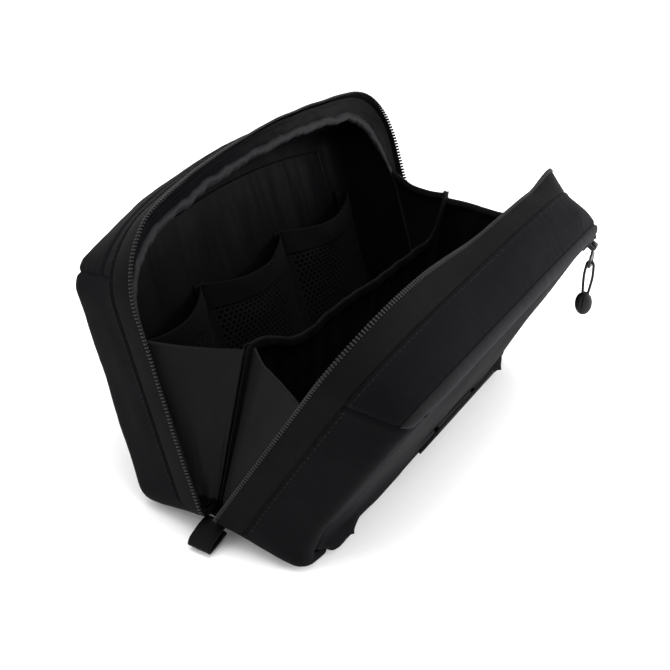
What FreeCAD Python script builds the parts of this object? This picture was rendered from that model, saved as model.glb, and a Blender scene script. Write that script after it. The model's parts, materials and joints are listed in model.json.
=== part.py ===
import FreeCAD, Part
import math
import os

# Zip-round cable organizer pouch, standing open in a V on its two lower outer edges.
# Two tray-shaped halves are joined along one fold at the bottom.  Each half is described in its
# own tray coordinates (x, depth, rise): x runs along the pouch, depth points outwards from the
# closing plane, and rise runs up from the fold.  Millimetres throughout.

# ---- driving dimensions -------------------------------------------------------------------
length = 244.0            # end to end over the zip rim
height = 152.0            # fold to the crown of the rim
corner_radius = 42.0      # rounded top corners of the rim
crown_radius = 620.0      # gentle arch of the top
side_taper = 8.0          # how much the outer panel is inset from the rim, all round
top_taper = 8.0           # how much further its top edge is drawn in
foot_radius = 7.0         # lower corners of the rim outline
heel_ease = 1.0           # inner heels are this much tighter than the wall leaves them
least_heel = 2.0

rear_depth = 46.0
front_depth = 42.0
rear_lean = 20.0          # degrees each half leans away from upright when the pouch stands open
front_lean = 28.0
rear_heel_radius = 6.0    # rounding where base turns into outer panel
front_heel_radius = 16.0
flattened = 0.45          # how far the soft heels are flattened by the pouch's weight

wall = 3.0                # end walls, top wall and base
lining = 0.8
skin = 1.4                # outer panel fabric
rear_foam = 3.8
front_foam = 3.2
pocket_slack = 3.9        # flat space inside the closed outer pocket
pocket_backing = 0.8
front_bulge = 7.0         # how far the outer pocket's panel swells at its middle
bulge_top = 112.0
arch_share = 1.4          # the swell's arch along the pouch, over its height

rim_gap = 2.4             # tape edge to the closing plane
coil_gap = 0.9            # coil row to the closing plane
coil_proud = 0.4
coil_thickness = 2.4
tape_width = 13.0
tape_thickness = 1.2
facing_start = 4.0        # bare tape edge left for the slider's inner plate
seam_rise = 121.0         # corner seam between end walls and top wall
end_wall_return = 14.0    # how far the end walls turn under onto the base
zip_start = 4.0           # rise at which tape and coil begin

gusset_edge_depth = 7.0   # sewn edge of each gusset behind the closing plane
gusset_edge_gap = 0.6
gusset_foot = 11.5
gusset_rise = 96.0
gusset_fold_length = 89.0
gusset_inset = 16.0       # fold tip, inwards from the pouch's end
gusset_thickness = 1.0
fold_clearance = 2.6      # the gussets' fold is the opened pivot of a closed linkage
fold_binding_width = 7.0
fold_binding_thickness = 0.7

divider_foot = 6.0
divider_height = 82.0
divider_foot_half = 108.0
divider_top_half = 80.0
divider_thickness = 1.0
divider_binding_height = 9.0
divider_binding_thickness = 0.8

pocket_width = 74.0       # each of three mesh pockets
pocket_foot = 8.0
pocket_mesh_height = 62.0
pocket_binding_height = 13.0
pocket_bulge = 14.0
mesh_thickness = 0.8
binding_thickness = 1.4

plate_thickness = 1.2     # zip sliders
slide_clearance = 0.35
taper_clearance = 0.5     # the rim narrows a little over the slider's width
post_half = 0.55
pin_radius = 0.7
eye_bore = 1.0
eye_radius = 1.9
pin_height = 2.15         # pin axis above the slider's outer plate
pin_half = 3.0            # half the pin's length, over the lugs
lug_thickness = 1.0
lug_half_width = 1.2
lug_over_pin = 0.5
bite = 0.2                # overlap where a slider's pieces are joined
tail_share = 0.72         # slider plate's half widths at tail and nose, over its widest
nose_share = 0.55
shoulder_share = 0.4      # where it is widest, and where its post starts and ends, over its half run
post_end_share = 0.8
main_slider_size = (7.0, 4.6)
pocket_slider_size = (5.5, 4.2)
tab_half_thickness = 0.6
tab_clear = 0.4           # from the eye's bore to the tab's flat

main_slider_rise = 18.0
main_pull_length = 24.0
main_pull_width = 7.0
main_neck_length = 6.0
main_eye_half = 1.4
main_grip_margin = 2.5    # slot for a fingertip or cord near the pull's free end
main_grip_length = 6.0
main_grip_half = 1.6

pocket_zip_rise = 119.0
pocket_zip_half = 100.0
pocket_slot_half = 2.6
pocket_tape_width = 4.0
pocket_tape_thickness = 0.6
pocket_coil_width = 1.7
pocket_coil_thickness = 1.4
pocket_slider_x = 93.0
pocket_pull_length = 12.0
pocket_pull_width = 5.2
pocket_neck_length = 4.5
pocket_eye_half = 1.2

cord_diameter = 1.5
cord_hole_radius = 1.3
cord_hole_margin = 3.0    # hole's centre above the tab's lower end
bead_size = (6.5, 9.5, 14.0)
bead_overlap = 2.0

badge_size = (66.0, 20.0, 1.8)
badge_rise = 50.0
badge_stand = 7.6
badge_post_radius = 1.6
badge_corner = 2.0
badge_post_share = 0.32   # posts from the middle, over the badge's width

loop_width = 12.0
loop_reach = 15.0
loop_ply = 1.4
loop_gap = 1.6
loop_droop = 13.0         # degrees below level
loop_drop = 5.7           # its root, below the fold

fold_bar_radius = 1.2

half_length = length / 2
half_angle = (rear_lean + front_lean) / 2
middle_lean = (rear_lean - front_lean) / 2
front_panel_total = skin + pocket_slack + pocket_backing + front_foam
rear_panel_total = skin + rear_foam
margin = 20.0             # overrun of cutting blocks


def vec(x, y, z):
    return FreeCAD.Vector(x, y, z)


def heel_drop(depth, radius, lean):
    """How far a rounded heel reaches below the fold when its half leans outwards."""
    angle = math.radians(lean)
    return (depth - radius) * math.sin(angle) - radius * math.cos(angle) + radius


fold_height = heel_drop(rear_depth, rear_heel_radius, rear_lean) - flattened


# ---- placing ------------------------------------------------------------------------------
def place_rear(shape):
    shape = shape.copy()
    shape.rotate(vec(0, 0, 0), vec(1, 0, 0), -rear_lean)
    shape.translate(vec(0, 0, fold_height))
    return shape


def place_front(shape):
    shape = shape.mirror(vec(0, 0, 0), vec(0, 1, 0))
    shape.rotate(vec(0, 0, 0), vec(1, 0, 0), front_lean)
    shape.translate(vec(0, 0, fold_height))
    return shape


def place_middle(shape):
    shape = shape.copy()
    shape.rotate(vec(0, 0, 0), vec(1, 0, 0), -middle_lean)
    shape.translate(vec(0, 0, fold_height))
    return shape


def rear_point(x, depth, rise):
    angle = math.radians(rear_lean)
    y = depth * math.cos(angle) + rise * math.sin(angle)
    z = rise * math.cos(angle) - depth * math.sin(angle)
    return vec(x, y, z + fold_height)


def front_point(x, depth, rise):
    angle = math.radians(front_lean)
    y = -depth * math.cos(angle) - rise * math.sin(angle)
    z = rise * math.cos(angle) - depth * math.sin(angle)
    return vec(x, y, z + fold_height)


def turned(shape, origin, travel, outward):
    """Carry a shape from slider coordinates (travel, across, outward) to a place."""
    across = outward.cross(travel)
    matrix = FreeCAD.Matrix(
        travel.x, across.x, outward.x, origin.x,
        travel.y, across.y, outward.y, origin.y,
        travel.z, across.z, outward.z, origin.z,
        0, 0, 0, 1)
    return shape.transformGeometry(matrix)


# ---- basic bodies -------------------------------------------------------------------------
def box(x_range, depth_range, rise_range):
    size = [high - low for low, high in (x_range, depth_range, rise_range)]
    return Part.makeBox(*size, vec(x_range[0], depth_range[0], rise_range[0]))


def arc(start, middle, end):
    return Part.Arc(start, middle, end).toShape()


def outline(inset, bottom, depth, drop):
    """Rim outline, offset inwards by inset and lowered at the top by drop, as a wire at one depth."""
    corner_x = half_length - corner_radius
    crown_centre = height - crown_radius - drop
    reach = math.sqrt((crown_radius - corner_radius) ** 2 - corner_x ** 2)
    corner_rise = crown_centre + reach
    tilt = math.atan2(corner_x, reach)
    radius = corner_radius - inset
    crown = crown_radius - inset
    side = half_length - inset
    diagonal = (math.pi / 2 - tilt) / 2
    foot = foot_radius * (1 - math.sqrt(0.5))

    def mirrored(x, rise):
        return vec(x, depth, rise), vec(-x, depth, rise)

    low_r, low_l = mirrored(side, bottom + foot_radius)
    high_r, high_l = mirrored(side, corner_rise)
    bend_r, bend_l = mirrored(corner_x + radius * math.cos(diagonal),
                              corner_rise + radius * math.sin(diagonal))
    top_r, top_l = mirrored(crown * math.sin(tilt), crown_centre + crown * math.cos(tilt))
    heel_r, heel_l = mirrored(side - foot, bottom + foot)
    base_r, base_l = mirrored(side - foot_radius, bottom)
    edges = [
        Part.makeLine(low_r, high_r),
        arc(high_r, bend_r, top_r),
        arc(top_r, vec(0, depth, crown_centre + crown), top_l),
        arc(top_l, bend_l, high_l),
        Part.makeLine(high_l, low_l),
        arc(low_l, heel_l, base_l),
        Part.makeLine(base_l, base_r),
        arc(base_r, heel_r, low_r),
    ]
    return Part.Wire(edges)


def block(tray, inset, bottom, start, end, heel=0.0):
    """Solid filling the tray's outline from one depth to another, with a rounded heel."""
    wires = []
    for depth in (start, end):
        share = depth / tray["depth"]
        wires.append(outline(inset + side_taper * share, bottom, depth, top_taper * share))
    solid = Part.makeLoft(wires, True, True)
    if heel:
        square = box((-length, length), (end - heel, end + margin), (bottom - margin, bottom + heel))
        rounding = Part.makeCylinder(heel, 2 * length, vec(-length, end - heel, bottom + heel), vec(1, 0, 0))
        solid = solid.cut(square.cut(rounding))
    return solid


def one_solid(shape):
    solids = shape.Solids
    return solids[0] if len(solids) == 1 else Part.makeCompound(solids)


rear_tray = {
    "depth": rear_depth,
    "heel": rear_heel_radius,
    "panel": rear_panel_total,
}
front_tray = {
    "depth": front_depth,
    "heel": front_heel_radius,
    "panel": front_panel_total,
}
for tray in (rear_tray, front_tray):
    tray["inner_heel"] = max(tray["heel"] - wall - heel_ease, least_heel)
    tray["room"] = tray["depth"] - tray["panel"] - lining


# ---- one half -----------------------------------------------------------------------------
def tray_shell(tray):
    depth = tray["depth"]
    full = block(tray, 0, 0, rim_gap, depth, tray["heel"])
    hollow = block(tray, wall, wall, 0, depth - tray["panel"], tray["inner_heel"])
    return full.cut(hollow)


def panel_zone(tray):
    """Everything that belongs to the outer panel: its thickness, and the heel it wraps round."""
    depth = tray["depth"]
    heel = tray["heel"]
    face = box((-length, length), (depth - tray["panel"], depth + margin), (heel, height + margin))
    wrap_start = depth - max(heel, tray["panel"])
    return face.fuse(box((-length, length), (wrap_start, depth + margin), (-margin, heel)))


def rim_zone():
    return box((-length, length), (rim_gap - 1, rim_gap + tape_width), (zip_start, height + margin))


def tray_walls(tray):
    shell = tray_shell(tray).cut(panel_zone(tray)).cut(rim_zone())
    inner = half_length - end_wall_return
    deep = (0, tray["depth"] + margin)
    low = (-margin, seam_rise)
    return {
        "left_wall": one_solid(shell.common(box((-length, -inner), deep, low))),
        "right_wall": one_solid(shell.common(box((inner, length), deep, low))),
        "top_wall": one_solid(shell.common(box((-length, length), deep, (seam_rise, height + margin)))),
        "base": one_solid(shell.common(box((-inner, inner), deep, (-margin, wall + 2)))),
    }


def tray_lining(tray):
    end = tray["depth"] - tray["panel"]
    outside = block(tray, wall, wall, facing_start + rim_gap, end, tray["inner_heel"])
    inside = block(tray, wall + lining, wall + lining, 0, tray["room"], tray["inner_heel"] - lining)
    return one_solid(outside.cut(inside))


def rim_ring(tray, inset_out, inset_in, start, end):
    ring = block(tray, inset_out, 0, start, end).cut(block(tray, inset_in, -margin, start - 1, end + 1))
    return one_solid(ring.common(box((-length, length), (-margin, length), (zip_start, height + margin))))


def tray_rim(tray):
    edge = rim_gap + tape_width
    return {
        "zip_tape": rim_ring(tray, 0, tape_thickness, rim_gap, edge),
        "zip_coil": rim_ring(tray, -coil_proud, coil_thickness - coil_proud, coil_gap, rim_gap),
        "rim_facing": rim_ring(tray, tape_thickness, wall, rim_gap + facing_start, edge),
    }


def pillow(tray, rise_low, rise_high, swell):
    """Swollen face of the outer pocket, crowned along the pouch and across it."""
    depth = tray["depth"]
    middle = (rise_low + rise_high) / 2
    across = Part.Wire([
        arc(vec(-length, depth, rise_low), vec(-length, depth + swell, middle),
            vec(-length, depth, rise_high)),
        Part.makeLine(vec(-length, depth, rise_high), vec(-length, depth, rise_low)),
    ])
    side = half_length - side_taper
    along = Part.Wire([
        arc(vec(-side, depth, 0), vec(0, depth + swell * arch_share, 0), vec(side, depth, 0)),
        Part.makeLine(vec(side, depth, 0), vec(-side, depth, 0)),
    ])
    ridge = Part.Face(across).extrude(vec(2 * length, 0, 0))
    arch = Part.Face(along).extrude(vec(0, 0, height))
    return ridge.common(arch).common(block(tray, 0, 0, depth - 1, depth + margin))


def rear_panel_layers():
    solid = tray_shell(rear_tray).common(panel_zone(rear_tray))
    core = block(rear_tray, skin, skin, rim_gap, rear_depth - skin, rear_heel_radius - skin)
    return {
        "rear_panel": one_solid(solid.cut(core)),
        "rear_panel_foam": one_solid(solid.common(core)),
    }


def front_panel_layers():
    solid = tray_shell(front_tray).common(panel_zone(front_tray))
    core = block(front_tray, skin, skin, rim_gap, front_depth - skin, front_heel_radius - skin)
    swell = pillow(front_tray, front_heel_radius, bulge_top, front_bulge)
    cover = solid.cut(core).fuse(swell).removeSplitter()
    slot = box((-pocket_zip_half, pocket_zip_half), (front_depth - skin - 1, front_depth + margin),
               (pocket_zip_rise - pocket_slot_half, pocket_zip_rise + pocket_slot_half))
    inner = solid.common(core)
    pocket_back = front_depth - skin - pocket_slack
    backing_face = pocket_back - pocket_backing
    above_heel = (front_heel_radius, height)
    across = (-length, length)
    pad = inner.cut(box(across, (backing_face, front_depth), above_heel))
    return {
        "front_panel": one_solid(cover.cut(slot)),
        "front_pocket_backing": one_solid(inner.common(box(across, (backing_face, pocket_back), above_heel))),
        "front_panel_foam": one_solid(pad),
    }


# ---- gussets, divider, fold ---------------------------------------------------------------
def gusset_edge_x(tray):
    return half_length - wall - lining - side_taper * gusset_edge_depth / tray["depth"] - gusset_edge_gap


def gusset_slope():
    fold_depth = gusset_fold_length * math.sin(math.radians(half_angle))
    return gusset_inset / (gusset_edge_depth + fold_depth)


def gusset_corner(tray, along, pull_back):
    """Point of the fold line, a distance along it from the pouch's fold, at the right-hand end."""
    angle = math.radians(half_angle)
    depth = pull_back - along * math.sin(angle)
    inwards = gusset_slope() * (gusset_edge_depth - depth)
    return vec(gusset_edge_x(tray) - inwards, depth, along * math.cos(angle))


def plate(points, thickness):
    normal = (points[1] - points[0]).cross(points[2] - points[0]).normalize()
    shifted = [point - normal * (thickness / 2) for point in points]
    face = Part.Face(Part.makePolygon(shifted + [shifted[0]]))
    return face.extrude(normal * thickness)


def gusset_panel(tray, left):
    """Flat cloth panel from its sewn edge to the fold line, at the right-hand or left-hand end."""
    edge_x = gusset_edge_x(tray)
    points = [
        vec(edge_x, gusset_edge_depth, gusset_foot),
        vec(edge_x, gusset_edge_depth, gusset_rise),
        gusset_corner(tray, gusset_fold_length, fold_clearance),
        gusset_corner(tray, zip_start + 3, fold_clearance),
    ]
    solid = plate(points, gusset_thickness)
    return solid.mirror(vec(0, 0, 0), vec(1, 0, 0)) if left else solid


def gusset_fold_binding(tray, left):
    """Sewn binding on the inner face of a rear gusset, along its fold edge."""
    low = gusset_corner(tray, zip_start + 8, fold_clearance)
    high = gusset_corner(tray, gusset_fold_length, fold_clearance)
    edge_x = gusset_edge_x(tray)
    inward = vec(edge_x, gusset_edge_depth, high.z) - high
    inward.normalize()
    step = inward * fold_binding_width
    points = [low, high, high + step, low + step]
    normal = (points[1] - points[0]).cross(points[2] - points[0]).normalize()
    if normal.x > 0:
        normal = normal * -1
    offset = normal * (gusset_thickness / 2 + fold_binding_thickness / 2)
    solid = plate([point + offset for point in points], fold_binding_thickness)
    return solid.mirror(vec(0, 0, 0), vec(1, 0, 0)) if left else solid


def divider_parts():
    top = divider_height - divider_binding_height
    share = (top - divider_foot) / (divider_height - divider_foot)
    waist = divider_foot_half + (divider_top_half - divider_foot_half) * share
    cloth = plate([
        vec(-divider_foot_half, 0, divider_foot),
        vec(divider_foot_half, 0, divider_foot),
        vec(divider_top_half, 0, divider_height),
        vec(-divider_top_half, 0, divider_height),
    ], divider_thickness)
    outer = plate([
        vec(-waist, 0, top),
        vec(waist, 0, top),
        vec(divider_top_half, 0, divider_height + divider_binding_thickness),
        vec(-divider_top_half, 0, divider_height + divider_binding_thickness),
    ], divider_thickness + 2 * divider_binding_thickness)
    return {"divider": place_middle(cloth), "divider_binding": place_middle(outer.cut(cloth))}


def bottom_fold():
    half = half_length - foot_radius
    bar = Part.makeCylinder(fold_bar_radius, 2 * half, vec(-half, 0, fold_height), vec(1, 0, 0))
    return bar


def zip_end_loop():
    """Webbing tab folded in half, sewn to the rear half where the zip begins."""
    root_x = -(half_length - foot_radius - 1)
    tip_x = -half_length - loop_reach
    half_gap = loop_gap / 2
    outer = half_gap + loop_ply
    bend_x = tip_x + outer
    ply_up = box((bend_x, root_x), (-loop_width / 2, loop_width / 2), (half_gap, outer))
    ply_down = box((bend_x, root_x), (-loop_width / 2, loop_width / 2), (-outer, -half_gap))
    start = vec(bend_x, -loop_width / 2, 0)
    bend = Part.makeCylinder(outer, loop_width, start, vec(0, 1, 0))
    bend = bend.cut(Part.makeCylinder(half_gap, loop_width, start, vec(0, 1, 0)))
    bend = bend.common(box((tip_x - 1, bend_x), (-loop_width, loop_width), (-outer, outer)))
    loop = ply_up.fuse(ply_down).fuse(bend).removeSplitter()
    loop.rotate(vec(root_x, 0, 0), vec(0, 1, 0), -loop_droop)
    loop.translate(vec(0, 0, fold_height - loop_drop))
    return loop


# ---- mesh pockets -------------------------------------------------------------------------
def bowed_strip(centre, thickness, low, high):
    """Upright strip that starts and ends on the lining and bows into the pouch between."""
    back = rear_tray["room"]
    half = pocket_width / 2 - 0.2

    def bow(half_width, reach):
        return arc(vec(centre - half_width, back, low), vec(centre, back - reach, low),
                   vec(centre + half_width, back, low))

    outer = bow(half, pocket_bulge)
    inner = bow(half - thickness, pocket_bulge - thickness)
    close_left = Part.makeLine(vec(centre - half, back, low), vec(centre - half + thickness, back, low))
    close_right = Part.makeLine(vec(centre + half, back, low), vec(centre + half - thickness, back, low))
    face = Part.Face(Part.Wire(Part.__sortEdges__([outer, close_right, inner, close_left])))
    return face.extrude(vec(0, 0, high - low))


def pocket_floor(centre):
    back = rear_tray["room"]
    half = pocket_width / 2 - 0.2
    low = pocket_foot - mesh_thickness
    bow = arc(vec(centre - half, back, low), vec(centre, back - pocket_bulge, low),
              vec(centre + half, back, low))
    chord = Part.makeLine(vec(centre + half, back, low), vec(centre - half, back, low))
    return Part.Face(Part.Wire([bow, chord])).extrude(vec(0, 0, mesh_thickness))


def mesh_pockets():
    parts = {}
    mesh_top = pocket_foot + pocket_mesh_height
    for name, centre in (("left", -pocket_width), ("middle", 0.0), ("right", pocket_width)):
        mesh = bowed_strip(centre, mesh_thickness, pocket_foot, mesh_top).fuse(pocket_floor(centre))
        band = bowed_strip(centre, binding_thickness, mesh_top, mesh_top + pocket_binding_height)
        parts["mesh_pocket_" + name] = place_rear(mesh.removeSplitter())
        parts["mesh_pocket_binding_" + name] = place_rear(band)
    return parts


# ---- sliders and pulls --------------------------------------------------------------------
def slider_body(size, inner_face, cover, pin_along_travel):
    """Two plates joined by a post at the nose, with lugs and a pin on the outer plate.

    Slider coordinates: x along its travel, y across, z outwards from the middle of the coil.
    """
    half_run, half_width = size
    shoulder = half_run * shoulder_share
    outline_points = [
        vec(-half_run, -half_width * tail_share, 0),
        vec(shoulder, -half_width, 0),
        vec(half_run, -half_width * nose_share, 0),
        vec(half_run, half_width * nose_share, 0),
        vec(shoulder, half_width, 0),
        vec(-half_run, half_width * tail_share, 0),
    ]
    face = Part.Face(Part.makePolygon(outline_points + [outline_points[0]]))
    outer_plate = face.extrude(vec(0, 0, plate_thickness))
    inner_plate = outer_plate.copy()
    outer_plate.translate(vec(0, 0, cover))
    inner_plate.translate(vec(0, 0, inner_face - plate_thickness))
    post = box((shoulder, half_run * post_end_share), (-post_half, post_half),
               (inner_face - bite, cover + bite))
    solid = outer_plate.fuse(inner_plate).fuse(post)
    deck = cover + plate_thickness
    lug_top = deck + pin_height + pin_radius + lug_over_pin
    for side in (-1, 1):
        place = sorted((side * pin_half, side * (pin_half - lug_thickness)))
        across = (-lug_half_width, lug_half_width)
        spans = (place, across) if pin_along_travel else (across, place)
        solid = solid.fuse(box(spans[0], spans[1], (deck - bite, lug_top)))
    direction = vec(1, 0, 0) if pin_along_travel else vec(0, 1, 0)
    start = direction * -pin_half + vec(0, 0, deck + pin_height)
    solid = solid.fuse(Part.makeCylinder(pin_radius, 2 * pin_half, start, direction))
    return solid.removeSplitter()


def eye(direction, centre, half_span):
    start = centre - direction * half_span
    ring = Part.makeCylinder(eye_radius, 2 * half_span, start, direction)
    return ring.cut(Part.makeCylinder(eye_bore, 2 * half_span, start, direction))


main_coil_half = coil_thickness / 2
main_cover = main_coil_half + slide_clearance
pocket_coil_half = pocket_coil_thickness / 2
pocket_coil_depth = front_depth - skin - pocket_tape_thickness - pocket_coil_half
pocket_cover = front_depth + slide_clearance - pocket_coil_depth
main_pin_height = main_cover + plate_thickness + pin_height
pocket_pin_height = pocket_cover + plate_thickness + pin_height


def main_slider_frame():
    """Origin, travel and outward directions of the main slider in the rear tray."""
    origin = vec(half_length + coil_proud - main_coil_half, 0, main_slider_rise)
    return origin, vec(0, 0, 1), vec(1, 0, 0)


def main_slider_parts():
    inner_face = -main_coil_half - slide_clearance - taper_clearance
    body = slider_body(main_slider_size, inner_face, main_cover, False)
    centre = vec(0, 0, main_pin_height)
    through = (0, 2 * main_pin_height)
    tab = box((-main_pull_length, -eye_bore - tab_clear), (-main_pull_width / 2, main_pull_width / 2),
              (main_pin_height - tab_half_thickness, main_pin_height + tab_half_thickness))
    neck = box((-main_neck_length, 0), (-main_pull_width, main_pull_width), through)
    waist = box((-main_neck_length, 0), (-main_eye_half, main_eye_half), through)
    tab = tab.cut(neck.cut(waist))
    grip_start = -main_pull_length + main_grip_margin
    grip = box((grip_start, grip_start + main_grip_length), (-main_grip_half, main_grip_half), through)
    ring = eye(vec(0, 1, 0), centre, main_eye_half)
    bore = Part.makeCylinder(eye_bore, main_pull_width, centre - vec(0, main_pull_width / 2, 0), vec(0, 1, 0))
    pull = tab.cut(grip).fuse(ring).cut(bore)
    frame = main_slider_frame()
    return {
        "main_slider": place_rear(turned(body, *frame)),
        "main_pull_tab": place_rear(turned(pull.removeSplitter(), *frame)),
    }


def pocket_slider_parts():
    inner_face = -pocket_coil_half - slide_clearance
    body = slider_body(pocket_slider_size, inner_face, pocket_cover, True)
    origin = vec(pocket_slider_x, pocket_coil_depth, pocket_zip_rise)
    return {"pocket_slider": place_front(turned(body, origin, vec(1, 0, 0), vec(0, 1, 0)))}


def pocket_pin():
    return front_point(pocket_slider_x, pocket_coil_depth + pocket_pin_height, pocket_zip_rise)


def pocket_pull_tab():
    """Small metal tab that hangs straight down from the bridge pin."""
    pin = pocket_pin()
    half = pocket_pull_width / 2
    across = (pin.y - pocket_pull_width, pin.y + pocket_pull_width)
    neck_span = (pin.z - pocket_neck_length, pin.z)
    tab = box((pin.x - half, pin.x + half), (pin.y - tab_half_thickness, pin.y + tab_half_thickness),
              (pin.z - pocket_pull_length, pin.z - eye_bore - tab_clear))
    neck = box((pin.x - half, pin.x + half), across, neck_span)
    waist = box((pin.x - pocket_eye_half, pin.x + pocket_eye_half), across, neck_span)
    hole_start = vec(pin.x, across[0], cord_top().z)
    hole = Part.makeCylinder(cord_hole_radius, 2 * pocket_pull_width, hole_start, vec(0, 1, 0))
    tab = tab.cut(neck.cut(waist)).cut(hole)
    bore = Part.makeCylinder(eye_bore, pocket_pull_width, pin - vec(half, 0, 0), vec(1, 0, 0))
    return tab.fuse(eye(vec(1, 0, 0), pin, pocket_eye_half)).cut(bore).removeSplitter()


def cord_top():
    pin = pocket_pin()
    return vec(pin.x, pin.y, pin.z - pocket_pull_length + cord_hole_margin)


def cord_route():
    """Loop through the tab's hole: out of the bead, up, over, and back into the bead."""
    top = cord_top()
    rising = [(1.3, -20.5), (2.5, -10.8), (2.2, -4.4), (1.6, 0.0)]
    points = [vec(top.x, top.y + across, top.z + up) for across, up in rising]
    points += [vec(top.x, top.y - across, top.z + up) for across, up in reversed(rising)]
    return points


def tangent_path(points):
    """Straight runs joined by arcs, each arc as large as its two runs allow."""
    edges = []
    radii = []
    start = points[0]
    for before, point, after in zip(points, points[1:], points[2:]):
        incoming = (point - before)
        outgoing = (after - point)
        reach = 0.45 * min(incoming.Length, outgoing.Length)
        turn = incoming.getAngle(outgoing)
        radii.append(reach / math.tan(turn / 2))
        first = point - incoming.normalize() * reach
        last = point + outgoing.normalize() * reach
        centre_way = (outgoing - incoming).normalize()
        sagitta = radii[-1] * (1 / math.cos(turn / 2) - 1)
        edges.append(Part.makeLine(start, first))
        edges.append(arc(first, point + centre_way * sagitta, last))
        start = last
    edges.append(Part.makeLine(start, points[-1]))
    return Part.Wire(edges), radii


def pull_cord():
    points = cord_route()
    path, radii = tangent_path(points)
    direction = (points[1] - points[0]).normalize()
    section = Part.Wire(Part.makeCircle(cord_diameter / 2, points[0], direction))
    tube = path.makePipeShell([section], True, False)
    area = math.pi * cord_diameter ** 2 / 4
    print("pull cord: length", round(path.Length, 1), "radii", [round(radius, 2) for radius in radii])
    print("pull cord: volume over section times length", round(tube.Volume / (area * path.Length), 4))
    return one_solid(tube)


def pull_bead():
    route = cord_route()
    top = route[0].z + bead_overlap
    ball = Part.makeSphere(0.5)
    matrix = FreeCAD.Matrix()
    matrix.scale(vec(*bead_size))
    matrix.move(vec(route[0].x, cord_top().y, top - bead_size[2] / 2))
    return ball.transformGeometry(matrix)


# ---- outer pocket's zip and badge ---------------------------------------------------------
def pocket_zip_parts():
    tape_face = front_depth - skin
    tape_back = tape_face - pocket_tape_thickness
    coil_back = tape_back - pocket_coil_thickness
    tapes = []
    coils = []
    for side in (-1, 1):
        edge = pocket_zip_rise + side * coil_gap
        tape_span = sorted((edge, edge + side * pocket_tape_width))
        coil_span = sorted((edge, edge + side * pocket_coil_width))
        along = (-pocket_zip_half + 1, pocket_zip_half - 1)
        tapes.append(box(along, (tape_back, tape_face), tape_span))
        coils.append(box(along, (coil_back, tape_back), coil_span))
    return {
        "pocket_zip_tapes": place_front(Part.makeCompound(tapes)),
        "pocket_zip_coils": place_front(Part.makeCompound(coils)),
    }


def badge_plate():
    wide, tall, thick = badge_size
    face = front_depth + badge_stand
    solid = box((-wide / 2, wide / 2), (face, face + thick), (badge_rise - tall / 2, badge_rise + tall / 2))
    upright = [edge for edge in solid.Edges if abs(edge.tangentAt(edge.FirstParameter).y) > 0.9]
    solid = solid.makeFillet(badge_corner, upright)
    for side in (-1, 1):
        start = vec(side * wide * badge_post_share, front_depth - skin, badge_rise)
        solid = solid.fuse(Part.makeCylinder(badge_post_radius, skin + badge_stand, start, vec(0, 1, 0)))
    return solid.removeSplitter()


# ---- assembly -----------------------------------------------------------------------------
def build_parts():
    parts = {}
    for side, tray, place in (("rear_", rear_tray, place_rear), ("front_", front_tray, place_front)):
        pieces = {**tray_walls(tray), **tray_rim(tray), "lining": tray_lining(tray)}
        parts.update({side + name: place(shape) for name, shape in pieces.items()})
        for left, end in ((True, "left"), (False, "right")):
            parts[end + "_gusset_" + side[:-1]] = place(gusset_panel(tray, left))
    parts.update({name: place_rear(shape) for name, shape in rear_panel_layers().items()})
    parts.update({name: place_front(shape) for name, shape in front_panel_layers().items()})
    badge = badge_plate()
    parts["front_panel"] = one_solid(parts["front_panel"].cut(place_front(badge)))
    parts["badge_plate"] = place_front(badge)
    for left, end in ((True, "left"), (False, "right")):
        parts[end + "_gusset_fold_binding"] = place_rear(gusset_fold_binding(rear_tray, left))
    parts.update(divider_parts())
    parts.update(mesh_pockets())
    parts.update(pocket_zip_parts())
    parts.update(main_slider_parts())
    parts.update(pocket_slider_parts())
    parts["pocket_pull_tab"] = pocket_pull_tab()
    parts["pull_bead"] = pull_bead()
    parts["pull_cord"] = pull_cord()
    parts["bottom_fold"] = bottom_fold()
    parts["zip_end_loop"] = zip_end_loop()
    floor_cut = box((-2 * length, 2 * length), (-2 * length, 2 * length), (-margin, 0))
    for name, shape in parts.items():
        if shape.BoundBox.ZMin < 0:
            parts[name] = one_solid(shape.cut(floor_cut))
    return parts


cord_parts = ("pull_cord", "pull_bead")


def origin_shift(parts):
    """Moves the origin to the middle of the footprint, on the surface the pouch stands on."""
    bounds = FreeCAD.BoundBox()
    for name, shape in parts.items():
        if name not in cord_parts:
            bounds.add(shape.optimalBoundingBox(True, False))
    return vec(-bounds.Center.x, -bounds.Center.y, -bounds.ZMin)


def main():
    parts = build_parts()
    shift = origin_shift(parts)
    os.makedirs("parts", exist_ok=True)
    for name, shape in parts.items():
        shape.translate(shift)
        if not shape.isValid():
            print("not valid:", name)
        shape.exportStep(os.path.join("parts", name + ".step"))
    print(len(parts), "parts; origin moved by", [round(value, 3) for value in shift])


if __name__ == "__main__":
    main()
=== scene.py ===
import bpy
import bmesh
import json
from bisect import bisect_right
from math import asin, atan2, copysign, cos, exp, pi, radians, sin, sqrt
from mathutils import Matrix, Vector, noise


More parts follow.
